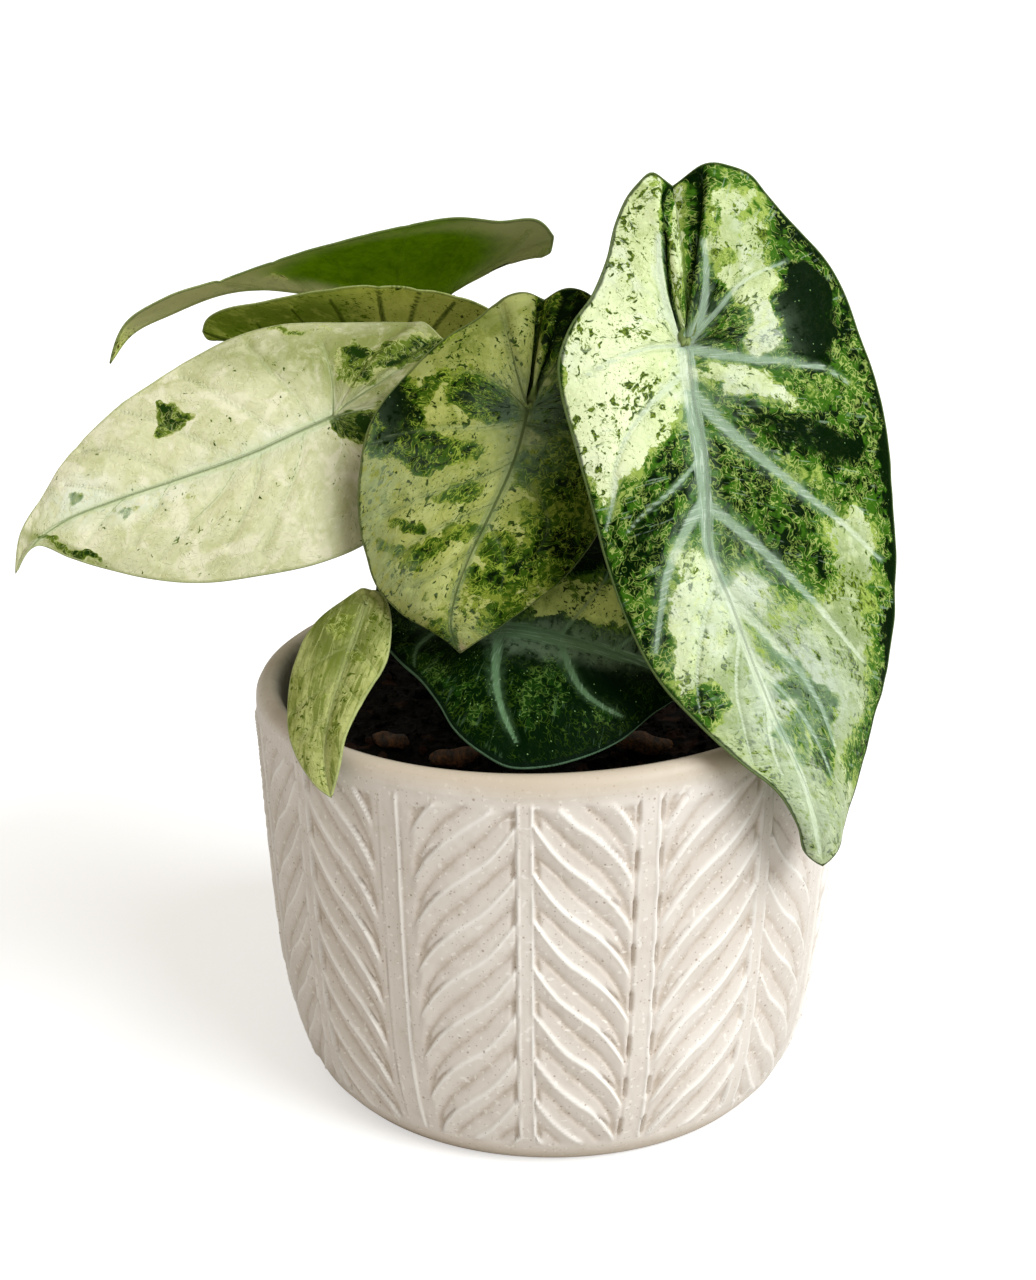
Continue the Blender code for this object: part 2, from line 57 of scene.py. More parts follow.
def sight(u, v, depth_mm):
    c, s = math.cos(SIGHT_TILT), math.sin(SIGHT_TILT)
    a = (u - 518.0) / SHEET_F
    b = (640.0 - v) / SHEET_F
    d = np.array([a, c + b * s, b * c - s])
    k = (depth_mm * 0.001 - SIGHT[1]) / d[1]
    return np.array(SIGHT) + d * k

def smooth_curve(pts, n_or_q, q_of=None):
    """Catmull-Rom through pts, read at chord-length positions."""
    p = np.asarray(pts, float)
    seg = np.linalg.norm(np.diff(p[:, :3], axis=0), axis=1) ** 0.75
    q = np.concatenate([[0], np.cumsum(seg)])
    q /= q[-1]
    m = np.zeros_like(p)
    for i in range(1, len(p) - 1):
        h0, h1 = q[i] - q[i - 1], q[i + 1] - q[i]
        d0, d1 = (p[i] - p[i - 1]) / h0, (p[i + 1] - p[i]) / h1
        m[i] = (d0 * h1 + d1 * h0) / (h0 + h1)
    m[0] = 1.5 * (p[1] - p[0]) / (q[1] - q[0]) - 0.5 * m[1]
    m[-1] = 1.5 * (p[-1] - p[-2]) / (q[-1] - q[-2]) - 0.5 * m[-2]
    x = np.asarray(n_or_q, float)
    k = np.clip(np.searchsorted(q, x, side='right') - 1, 0, len(q) - 2)
    h = (q[k + 1] - q[k])[:, None]
    t = ((x - q[k]) / (q[k + 1] - q[k]))[:, None]
    h00 = 2 * t**3 - 3 * t**2 + 1
    h10 = t**3 - 2 * t**2 + t
    h01 = -2 * t**3 + 3 * t**2
    h11 = t**3 - t**2
    return h00 * p[k] + h10 * h * m[k] + h01 * p[k + 1] + h11 * h * m[k + 1], q

def unit(a):
    return a / np.maximum(np.linalg.norm(a, axis=-1, keepdims=True), 1e-12)

def leaf_columns(leaf, n_fan, n_body):
    """Midrib and margin points of both halves, and how far along the midrib
    each column starts."""
    mid = np.array([sight(*p) for p in leaf['mid']])
    mm = np.linspace(0, 1, n_body + 1)
    mpts, _ = smooth_curve(mid, mm)
    sides = []
    for key in ('right', 'left'):
        rows = leaf[key]
        pts = [sight(*leaf['notch'])] + [sight(*r[1:4]) for r in rows] + [mid[-1]]
        ms = np.array([0.0] + [r[0] for r in rows] + [1.0])
        _, q = smooth_curve(pts, [0.0])
        last0 = np.nonzero(ms <= 0)[0].max()
        qf = q[last0]
        qs = np.concatenate([np.linspace(0, qf, n_fan + 1),
                             np.interp(mm[1:], ms[last0:], q[last0:])])
        # even out the station spacing so no column kinks
        for _ in range(2):
            tail = qs[n_fan:]
            tail[1:-1] = 0.5 * tail[1:-1] + 0.25 * (tail[:-2] + tail[2:])
            qs[n_fan:] = tail
        edge, _ = smooth_curve(pts, qs)
        sides.append((qs, edge))
    return mpts, mm, sides

def leaf_grid(leaf, n_fan, n_body, n_t, fine=False):
    """Mid-surface points of a blade: for each half a grid
    [column from notch to tip][row from midrib to margin]."""
    mpts, mm, sides = leaf_columns(leaf, n_fan, n_body)
    base = np.concatenate([np.repeat(mpts[:1], n_fan, 0), mpts])
    m_all = np.concatenate([np.zeros(n_fan), mm])
    t = np.linspace(0, 1, n_t + 1)
    out = []
    for k, (qs, edge) in enumerate(sides):
        rib = edge - base
        w = np.linalg.norm(rib, axis=1)
        tan = np.gradient(edge, axis=0)
        nrm = np.cross(tan, rib) if k == 0 else np.cross(rib, tan)
        nrm = unit(nrm) * leaf.get('face', 1)
        nrm[-1] = nrm[-2]
        for _ in range(2 + (12 if fine else 2)):
            nrm[1:-1] = unit(0.5 * nrm[1:-1] + 0.25 * (nrm[:-2] + nrm[2:]))
        cam = leaf['camber'][k]
        fan = np.clip(1 - np.arange(len(base)) / n_fan, 0, 1)   # 1 at the seam
        r = 1 - fan
        bulge = cam * np.sin(np.pi * t)[None, :] * w[:, None]
        fold = leaf.get('fold', 0.0) * 0.001
        ridge = (np.exp(-((r - 0.16) / 0.09) ** 2) - 0.9 * np.exp(-(r / 0.07) ** 2))
        ridge = np.where(np.arange(len(base)) <= n_fan, ridge, 0)
        fold_h = fold * ridge[:, None] * (np.sin(np.pi * np.clip(t, 0, 1) * 0.5) ** 1.0)[None, :]
        P = (base[:, None, :] + rib[:, None, :] * t[None, :, None]
             + nrm[:, None, :] * (bulge + fold_h)[..., None])
        out.append(P)
    # both halves meet on one seam line
    seam = 0.5 * (out[0][0] + out[1][0])
    out[0][0] = seam
    out[1][0] = seam
    return out, base, m_all

LEAVES = {
 'leaf_large_right': dict(
  mid=[(686,348,-24),(693,405,-30),(703,451,-34),(706,507,-38),(708,550,-41),(729,602,-45),
       (752,664,-49),(775,720,-53),(803,781,-55),(820,837,-53),(822,865,-51)],
  notch=(674,187,-7),
  right=[(0,699,172,-4),(0,724,169,-4),(0,747,175,-5),(0,766,197,-6),(0,800,235,-8),(0,829,266,-10),(0.0,858,333,-14),
         (0.06,877,400,-18),(0.17,887,470,-21),(0.27,892,540,-24),(0.36,892,585,-26),(0.47,886,645,-29),
         (0.57,877,695,-32),(0.72,859,762,-37),(0.86,844,820,-44),(0.95,836,852,-49)],
  left=[(0,661,181,-6),(0,648,179,-6),(0,633,192,-9),(0,616,225,-14),(0,607,262,-19),(0,592,298,-23),(0,570,330,-27),
        (0,559,365,-30),(0.04,562,395,-32),(0.12,574,440,-36),(0.22,590,500,-41),(0.33,606,560,-45),
        (0.44,630,628,-49),(0.55,660,682,-54),(0.66,698,724,-58.5),(0.76,738,761,-60.5),(0.85,778,793,-60),
        (0.93,798,825,-57),(0.975,806,853,-53)],
  camber=(0.10,0.10), fold=2.4, thick=0.8),
 'leaf_centre': dict(
  mid=[(527,411,-18),(513,460,-24),(492,508,-30),(468,556,-35),(454,597,-38),(450,625,-39),(460,653,-38)],
  notch=(545,300,-4),
  right=[(0,562,294,-3),(0,584,294,-3),(0,604,315,-4),(0,618,362,-6),(0,624,412,-9),(0.08,622,458,-12),(0.22,612,498,-16),
         (0.40,594,534,-22),(0.55,573,562,-27),(0.70,545,590,-31),(0.86,500,624,-36),(0.94,474,642,-38)],
  left=[(0,528,296,-3),(0,505,302,-4),(0,480,320,-6),(0,440,345,-10),(0,410,375,-14),(0,385,405,-18),(0.0,370,432,-21),
        (0.10,362,470,-24),(0.24,360,510,-27),(0.42,365,550,-30),(0.60,378,588,-33),(0.76,401,611,-35),
        (0.88,430,629,-37),(0.95,448,642,-38)],
  camber=(0.10,0.12), fold=1.6, thick=0.8),
 'leaf_left': dict(
  mid=[(333,417,-6),(306,429,-10),(249,455,-17),(172,482,-23),(115,501,-28),(60,523,-32),(28,545,-34),(16,573,-35)],
  notch=(442,338,9),
  right=[(0,420,327,13),(0,398,325,14),(0,350,325,14),(0,300,326,12),(0.08,250,333,8),(0.24,202,355,2),(0.42,153,388,-6),
         (0.56,110,418,-13),(0.72,73,455,-20),(0.86,42,500,-28),(0.94,22,533,-33)],
  left=[(0,452,365,4),(0,450,405,-3),(0,435,455,-10),(0,410,505,-16),(0.0,365,543,-21),(0.10,320,562,-25),(0.24,260,575,-29),
        (0.38,205,582,-31),(0.52,150,578,-33),(0.66,105,568,-34),(0.80,70,557,-35),(0.92,36,545,-35)],
  camber=(0.08,0.08), fold=1.2, thick=0.8, face=-1),
 'leaf_top_back': dict(
  mid=[(446,296,57),(405,299,57),(360,298,55),(314,293,51),(259,288,46),(222,293,42),(173,312,37),(131,334,33),(110,363,29)],
  notch=(549,251,40),
  right=[(0,552,237,34),(0,538,222,31),(0,497,223,30),(0.0,459,219,29),(0.16,384,232,28),(0.36,316,250,27),(0.58,231,278,27),
         (0.74,168,298,27),(0.87,126,324,28)],
  left=[(0,548,242,60),(0,530,236,74),(0,490,236,84),(0.0,440,240,90),(0.16,380,248,90),(0.36,314,262,84),(0.58,229,286,70),
        (0.74,172,303,54),(0.87,132,329,39)],
  camber=(0.05,0.05), fold=0.8, thick=0.8, face=1),
 'leaf_second_back': dict(
  mid=[(466,352,26),(420,354,28),(360,352,29),(300,348,29),(250,344,27),(203,331,24)],
  notch=(500,330,20),
  right=[(0,494,315,16),(0,472,303,14),(0,424,291,13),(0.10,366,287,13),(0.34,320,292,14),(0.62,266,303,17),(0.84,220,312,20),(0.94,207,320,22)],
  left=[(0,498,326,27),(0,480,317,35),(0,440,310,41),(0.10,380,309,43),(0.34,325,313,42),(0.62,270,326,34),(0.84,224,339,28),(0.94,208,339,25)],
  camber=(0.05,0.05), fold=0.6, thick=0.8, face=1),
 'leaf_low_centre': dict(
  mid=[(488,627,-22),(527,630,-26),(578,642,-31),(630,660,-35),(668,674,-37),(697,684,-37)],
  notch=(377,603,-14),
  right=[(0,380,585,-10),(0,396,564,-6),(0,430,545,-4),(0,480,532,-4),(0.16,540,526,-5),(0.40,600,534,-8),(0.62,643,566,-14),
         (0.80,673,612,-23),(0.93,691,652,-31)],
  left=[(0,377,620,-16),(0,386,644,-21),(0,402,664,-27),(0,423,683,-33),(0,441,706,-40),(0.06,456,731,-46),(0.14,480,753,-51),
        (0.26,508,768,-53.5),(0.38,542,768,-53.5),(0.54,582,758,-52),(0.70,621,740,-49),(0.84,655,712,-44),(0.94,682,694,-39)],
  camber=(0.10,0.10), fold=1.0, thick=0.8),
 'leaf_small_left': dict(
  mid=[(366,604,-31),(352,645,-35),(340,680,-39),(330,715,-44),(325,745,-48),(326,772,-52),(331,797,-54)],
  notch=(371,590,-29),
  right=[(0,384,597,-30),(0,390,616,-32),(0.10,390,640,-35),(0.24,386,662,-38),(0.42,371,688,-42),(0.58,357,712,-46),(0.72,345,738,-50),
         (0.84,340,764,-53),(0.93,335,784,-54)],
  left=[(0,360,591,-28),(0,344,602,-28),(0,325,617,-29),(0.14,306,640,-31),(0.32,297,664,-33),(0.50,291,700,-36.5),(0.66,292,738,-43),
        (0.82,305,770,-50),(0.92,318,787,-53)],
  camber=(0.08,0.08), fold=0.5, thick=0.8),
}

STEMS = {
 # root and lean in metres; neck is how far the stalk runs square to the blade
 'stem_large_right': dict(leaf='leaf_large_right', root=(0.0080,0.0120), lean=(0.014,0.026,0.135), neck=0.020, r0=0.0030, r1=0.0020),
 'stem_centre': dict(leaf='leaf_centre', root=(-0.0010,0.0080), lean=(0.000,0.018,0.130), neck=0.018, r0=0.0028, r1=0.0018),
 'stem_left': dict(leaf='leaf_left', root=(-0.0100,0.0120), lean=(-0.018,0.020,0.115), neck=0.016, r0=0.0028, r1=0.0018),
 'stem_top_back': dict(leaf='leaf_top_back', root=(0.0040,0.0220), lean=(0.006,0.036,0.125), neck=0.016, r0=0.0027, r1=0.0017),
 'stem_second_back': dict(leaf='leaf_second_back', root=(-0.0060,0.0210), lean=(-0.004,0.020,0.120), neck=0.014, r0=0.0027, r1=0.0017),
 'stem_low_centre': dict(leaf='leaf_low_centre', root=(-0.0050,0.0000), lean=(-0.006,-0.002,0.094), neck=0.008, r0=0.0024, r1=0.0016),
 'stem_small_left': dict(leaf='leaf_small_left', root=(-0.0150,0.0060), lean=(-0.060,-0.004,0.102), neck=0.004, r0=0.0020, r1=0.0013),
}

SOIL_TOP = 0.0820
CORM_TOP = 0.0885
GAP = 0.0003

def leaf_frame(leaf):
    """Junction point and the upper-face normal there."""
    out, base, m = leaf_grid(leaf, 12, 24, 4)
    acc = np.zeros(3)
    for k, P in enumerate(out):
        for i in range(2, 16):
            rib = P[i, 1] - P[i, 0]
            tan = P[i + 1, 1] - P[i - 1, 1]
            n = np.cross(tan, rib) if k == 0 else np.cross(rib, tan)
            acc += unit(n) * leaf.get('face', 1)
    return base[0], unit(acc)

def stem_path(stem, n):
    leaf = LEAVES[stem['leaf']]
    j, nrm = leaf_frame(leaf)
    p0 = np.array([stem['root'][0], stem['root'][1], CORM_TOP + GAP])
    p3 = j - nrm * (leaf['thick'] * 0.0005 + stem.get('stand', 0.0008))
    p2 = p3 - nrm * stem['neck']
    p1 = np.array(stem['lean'])
    t = np.linspace(0, 1, n)[:, None]
    # start upright
    a = p0 + np.array([0, 0, max(0.006, 0.35 * (p1[2] - p0[2]))])
    pts = [p0, a, p1, p2, p3]
    c = [1, 4, 6, 4, 1]
    path = sum(c[k] * (1 - t)**(4 - k) * t**k * pts[k] for k in range(5))
    r = stem['r0'] + (stem['r1'] - stem['r0']) * np.linspace(0, 1, n)
    return path, r

# =====================================================================
# Small tools
# =====================================================================
def hash01(i, j=0, k=0):
    """Repeatable scatter number between 0 and 1 for whole-number arrays."""
    x = np.sin(np.asarray(i) * 127.1 + np.asarray(j) * 311.7 + np.asarray(k) * 74.7) * 43758.5453
    return x - np.floor(x)

def value_noise(x, y, seed=0):
    """Smooth 2-D noise between -1 and 1."""
    xi, yi = np.floor(x), np.floor(y)
    fx, fy = x - xi, y - yi
    fx = fx * fx * (3 - 2 * fx)
    fy = fy * fy * (3 - 2 * fy)
    a, b = hash01(xi, yi, seed), hash01(xi + 1, yi, seed)
    c, d = hash01(xi, yi + 1, seed), hash01(xi + 1, yi + 1, seed)
    return ((a * (1 - fx) + b * fx) * (1 - fy) + (c * (1 - fx) + d * fx) * fy) * 2 - 1

def fbm(x, y, seed=0, octaves=3):
    out, amp, tot = 0.0, 1.0, 0.0
    for o in range(octaves):
        out = out + amp * value_noise(x * 2**o, y * 2**o, seed + 17 * o)
        tot += amp
        amp *= 0.5
    return out / tot

def sstep(a, b, x):
    t = np.clip((x - a) / (b - a), 0, 1)
    return t * t * (3 - 2 * t)

def mesh_object(name, verts, faces, smooth=True):
    """Object from an array of points and an array of quads and/or triangles."""
    me = bpy.data.meshes.new(name)
    verts = np.asarray(verts, np.float32)
    me.vertices.add(len(verts))
    me.vertices.foreach_set('co', verts.ravel())
    loops = np.concatenate([np.asarray(f, np.int32).ravel() for f in faces if len(f)])
    sizes = np.concatenate([np.full(len(f), np.asarray(f).shape[1], np.int32) for f in faces if len(f)])
    starts = np.concatenate([[0], np.cumsum(sizes)[:-1]]).astype(np.int32)
    me.loops.add(len(loops))
    me.loops.foreach_set('vertex_index', loops)
    me.polygons.add(len(sizes))
    me.polygons.foreach_set('loop_start', starts)
    me.polygons.foreach_set('loop_total', sizes)
    me.polygons.foreach_set('use_smooth', np.full(len(sizes), smooth, bool))
    me.update(calc_edges=True)
    me.validate()
    ob = bpy.data.objects.new(name, me)
    bpy.context.scene.collection.objects.link(ob)
    return ob

def attribute(ob, name, values):
    at = ob.data.attributes.new(name, 'FLOAT', 'POINT')
    at.data.foreach_set('value', np.asarray(values, np.float32).ravel())

def attribute3(ob, name, values):
    at = ob.data.attributes.new(name, 'FLOAT_VECTOR', 'POINT')
    at.data.foreach_set('vector', np.asarray(values, np.float32).ravel())

def to_sheet(P):
    """Where a point in space lands on the front drawing sheet."""
    P = np.asarray(P, float)
    c, s = math.cos(SIGHT_TILT), math.sin(SIGHT_TILT)
    x, y, z = P[..., 0] - SIGHT[0], P[..., 1] - SIGHT[1], P[..., 2] - SIGHT[2]
    d = y * c - z * s
    up = y * s + z * c
    return np.stack([518 + SHEET_F * x / d, 640 - SHEET_F * up / d], -1)

# =====================================================================
# Pot
# =====================================================================
# upright stems of the relief, degrees from the front; even entries take the
# leaflets upwards to them, odd ones downwards
STEMS_AT = [-53.8, -31.0, -5.3, 17.0, 42.6, 65.6] + [65.6 + (240.6 / 11.0) * k for k in range(1, 11)]
WALL = [(0.0490, 0.0000), (0.0508, 0.0006), (0.0522, 0.0020), (0.0541, 0.0042), (0.0554, 0.0070),
        (0.0568, 0.0108), (0.0586, 0.0170), (0.0602, 0.0250), (0.0614, 0.0350), (0.0622, 0.0450),
        (0.0630, 0.0570), (0.0637, 0.0690), (0.0643, 0.0800), (0.0647, 0.0860), (0.0649, 0.0905)]
LIP = [(0.0645, 0.0926), (0.0634, 0.0940), (0.0618, 0.0943), (0.0603, 0.0939), (0.0594, 0.0927)]
INSIDE = [(0.0590, 0.0900), (0.0586, 0.0800), (0.0576, 0.0600), (0.0562, 0.0420), (0.0545, 0.0280),
          (0.0520, 0.0180), (0.0480, 0.0110), (0.0430, 0.0076)]
BAND_LOW, BAND_HIGH = 0.0066, 0.0896     # relief band
PITCH = 0.01075                          # leaflet spacing up the wall
RISE = 0.0252                            # how far one leaflet climbs across its panel

def wall_radius(z):
    p = np.array(WALL)
    q = np.linspace(0, 1, 400)
    c, _ = smooth_curve(np.c_[p, np.zeros(len(p))], q)
    return np.interp(z, c[:, 1], c[:, 0])

def climb(x):
    """Height share of a leaflet's line across its panel, steep at both ends."""
    return x + 0.052 * np.sin(2 * np.pi * x) + 0.030 * (1 - np.exp(-x / 0.05)) * (1 - x)

def lens_edge(x):
    """Where the flat of a leaflet starts, as a share of the pitch below the
    crest above it."""
    return np.interp(x, [0, 0.12, 0.20, 0.42, 0.57, 0.76, 0.86, 0.93, 1.0],
                     [0.70, 0.66, 0.62, 0.585, 0.52, 0.47, 0.52, 0.60, 0.68])

def pot_relief(deg, z):
    """Relief height in metres, how deep in a groove and how near a crest, at
    an angle and height on the wall."""
    R = wall_radius(z)
    n = len(STEMS_AT)
    st = np.array(STEMS_AT + [STEMS_AT[0] + 360.0])
    d = (deg - st[0]) % 360.0 + st[0]
    i = np.clip(np.searchsorted(st, d, side='right') - 1, 0, n - 1)
    a, b = st[i], st[i + 1]
    left_up = (i % 2) == 0                       # the left stem is an 'up' stem
    arc = np.radians(b - a) * R                  # panel width, metres
    s = np.radians(d - a) * R                    # from the left stem's centre
    from_v = np.where(left_up, arc - s, s)
    wob = 0.00016 * fbm(z * 90.0, i * 7.3, 5)
    hw_v, hw_u = 0.0024 + wob, 0.0017 + 0.6 * wob
    gaps = np.array([0.0016, 0.0027, 0.0006, 0.0007, 0.0016, 0.0020, 0.0012, 0.0024, 0.0010, 0.0016, 0.0026, 0.0008, 0.0014, 0.0022, 0.0010, 0.0018])
    gap_v = gaps[i]
    x = (from_v - hw_v - gap_v) / (arc - hw_v - gap_v - hw_u)
    x = x + 0.012 * fbm(z * 140 + 3.3 * i, s * 60, 29, 2)
    xc = np.clip(x, 0, 1)
    jitter = 0.0011 * (hash01(i, 3) - 0.5)
    line = z - 0.0052 - jitter - RISE * climb(xc) * (1 + 0.03 * (hash01(i, 8) - 0.5))
    line = line + 0.00030 * fbm(s * 230 + 31 * i, z * 190, 11)
    cc = line / PITCH
    k = np.ceil(cc)
    # uneven carving: every leaflet sits a little differently
    cc = cc + 0.07 * (hash01(k, i, 6) - 0.5) * np.sin(np.pi * (k - cc))
    f = np.clip(k - cc, 0, 1)                    # 0 on a crest, 1 just above the next one down
    fu = lens_edge(xc) + 0.05 * (hash01(k, i, 4) - 0.5) + 0.018 * fbm(s * 700, z * 500, 37, 2)
    fl = 1 - 0.17 * sstep(0.46, 0.10, xc)
    lens = sstep(fu - 0.03, fu + 0.035, f) * np.where(xc < 0.46, sstep(fl + 0.035, fl - 0.025, f), 1.0)
    lens = lens * sstep(0.075, 0.125, xc) * sstep(0.965, 0.925, xc)
    t = np.clip(f / fu, 0, 1)
    slope = 1.0 - 0.86 * t ** 1.35
    flat = 0.46 + 0.26 * np.clip((f - fu) / (1 - fu), 0, 1)
    h = slope * (1 - lens) + flat * lens
    h = h + (1 - h) * sstep(0.915, 0.995, f)
    near = np.minimum(f, 1 - f)
    ridge = np.exp(-(near / 0.054) ** 2)
    h = h + 0.16 * ridge
    ends = sstep(-0.012, 0.05, x)
    h = 0.56 + (h - 0.56) * ends
    crest = ridge * ends * sstep(1.01, 0.985, x)
    # upright stems, with their own fine edges
    du = np.where(left_up, s, arc - s)
    dv = from_v
    bar_u = sstep(hw_u + 0.00030, hw_u - 0.00025, du)
    bar_v = sstep(hw_v + 0.00035, hw_v - 0.00020, dv)
    climbs = sstep(0.30, 0.60, f) * 0.75 + 0.25
    lip_v = np.exp(-((dv - hw_v + 0.00040) / 0.00034) ** 2)
    lip_u = np.exp(-((du - hw_u + 0.00020) / 0.00030) ** 2) * climbs
    hu = 0.80 * bar_u + 0.34 * lip_u
    side_v = np.where(left_up, 0.15, 1.0)          # one edge of a 'down' stem stands proud
    hv = 0.60 * bar_v + 0.40 * lip_v * side_v
    # small cut where each leaflet runs out against a 'down' stem
    notch = np.exp(-((dv - hw_v - 0.0001) / 0.00042) ** 2) * sstep(0.30, 0.16, np.abs(f - 0.55)) * (gap_v < 0.0011)
    hh = np.maximum(h * (1 - bar_u) * (1 - bar_v), np.maximum(hu, hv)) - 0.75 * notch
    band = sstep(BAND_LOW - 0.0004, BAND_LOW + 0.0010, z)
    ragged = 0.0016 * (hash01(k, i, 2) - 0.5) - 0.0016
    stemtop = np.maximum(bar_u, bar_v)
    top = BAND_HIGH + ragged * (1 - stemtop) - 0.0002 * stemtop
    band = band * sstep(top + 0.0002, top - 0.0008, z)
    # crest mask: the glaze material paints crests and raised stem edges lighter, partly glaze running thin over them
    # and partly painted highlight
    crest = np.maximum(crest * (1 - bar_u) * (1 - bar_v), np.maximum(0.9 * lip_v * side_v, 0.9 * lip_u)) * band
    # groove mask: the glaze material paints the grooves darker and browner, partly glaze pooled in the hollows and
    # partly painted shade
    groove = np.clip(1 - hh / 0.62, 0, 1) * band
    height = (0.00116 * hh - 0.00072) * band + 0.00006 * fbm(s * 900 + 9.1 * i, z * 900, 3) * band
    return height, groove, crest

def build_pot_part(name, panels):
    """The wall, lip and inside over a run of panels, from stem to stem."""
    per = 68
    u = np.linspace(0, 1, per, endpoint=False)
    u = u - 0.085 * np.sin(4 * np.pi * u) / (2 * np.pi)      # closer near the stems' edges
    st = STEMS_AT + [STEMS_AT[0] + 360.0]
    deg, idx = [], []
    for n, i in enumerate(panels):
        turn = 360.0 * (i >= len(STEMS_AT)) - 360.0 * (i < 0)
        i = i % len(STEMS_AT)
        deg.append(st[i] + (st[i + 1] - st[i]) * u + turn)
        idx.append(np.full(per, i))
    deg.append([st[i + 1] + turn])
    idx.append([i])
    deg, idx = np.concatenate(deg), np.concatenate(idx)
    m = len(deg)
    band_rows = 146
    zb = np.linspace(BAND_LOW - 0.001, BAND_HIGH + 0.0008, band_rows)
    x = np.append(np.tile(u, len(panels)), 1.0)
    x_from_v = np.where(idx % 2 == 0, 1 - x, x)
    slant = RISE * (climb(np.clip((x_from_v - 0.12) / 0.80, 0, 1)) - 0.5)
    rows = [np.full(m, p[1]) for p in WALL if p[1] < BAND_LOW - 0.0012]
    for z in zb:
        e = min(z - zb[0], zb[-1] - z)
        rows.append(z + slant * sstep(0.0, 0.032, e))        # rows lean with the leaflets
    for z in (0.0908,):
        rows.append(np.full(m, z))
    zs = np.array(rows)
    zs = np.maximum.accumulate(zs + np.arange(len(zs))[:, None] * 1e-7, axis=0)
    degs = np.repeat(deg[None, :], len(zs), 0)
    # just inside the run's ends, so the first and last columns read their own panels
    eps = np.zeros(m)
    eps[0], eps[-1] = 1e-4, -1e-4
    h, groove, crest = pot_relief(degs + eps, zs)
    r = wall_radius(zs) + h
    r[0] = WALL[0][0]
    q = np.linspace(0, 1, 9)
    lipc, _ = smooth_curve(np.c_[np.array([(0.0649, 0.0908)] + LIP + [(0.0590, 0.0900)]), np.zeros(len(LIP) + 2)], q[1:])
    inner = [(a[0], a[1]) for a in lipc] + INSIDE[1:]
    rr = np.array([p[0] for p in inner])[:, None] * np.ones((1, m))
    zz = np.array([p[1] for p in inner])[:, None] * np.ones((1, m))
    R = np.vstack([r, rr])
    Z = np.vstack([zs, zz])
    ang = np.radians(deg - 90.0)[None, :]
    # gentle throwing unevenness
    R = R + 0.00018 * np.sin(3 * ang + 0.7) * np.clip(Z / 0.02, 0, 1) * (np.arange(len(R))[:, None] < len(zs))
    X, Y = R * np.cos(ang), R * np.sin(ang)
    ZZ = Z * (1.0 + RIM_SLOPE * X / POT_H)
    verts = np.stack([X, Y, ZZ], -1).reshape(-1, 3)
    n = len(R)
    a = (np.arange(n - 1)[:, None] * m + np.arange(m - 1)[None, :])
    quads = np.stack([a, a + 1, a + 1 + m, a + m], -1).reshape(-1, 4)
    c = len(verts)
    verts = np.vstack([verts, [[0, 0, 0.007], [0, 0, 0.0]]])
    k = np.arange(m - 1)
    t1 = np.stack([(n - 1) * m + k, (n - 1) * m + k + 1, np.full(m - 1, c)], -1)
    t0 = np.stack([k + 1, k, np.full(m - 1, c + 1)], -1)
    ob = mesh_object(name, verts, [quads, t1, t0])
    pad = np.zeros(rr.size + 2)
    attribute(ob, 'groove', np.concatenate([groove.ravel(), pad]))
    attribute(ob, 'crest', np.concatenate([crest.ravel(), pad]))
    # inside: mask for the inner lip and inside wall, which the glaze material paints dark as painted shade
    inside = np.concatenate([np.zeros(zs.size), np.repeat(sstep(0.0615, 0.0592, np.array([p[0] for p in inner])), m), [1, 0]])
    attribute(ob, 'inside', inside)
    return ob

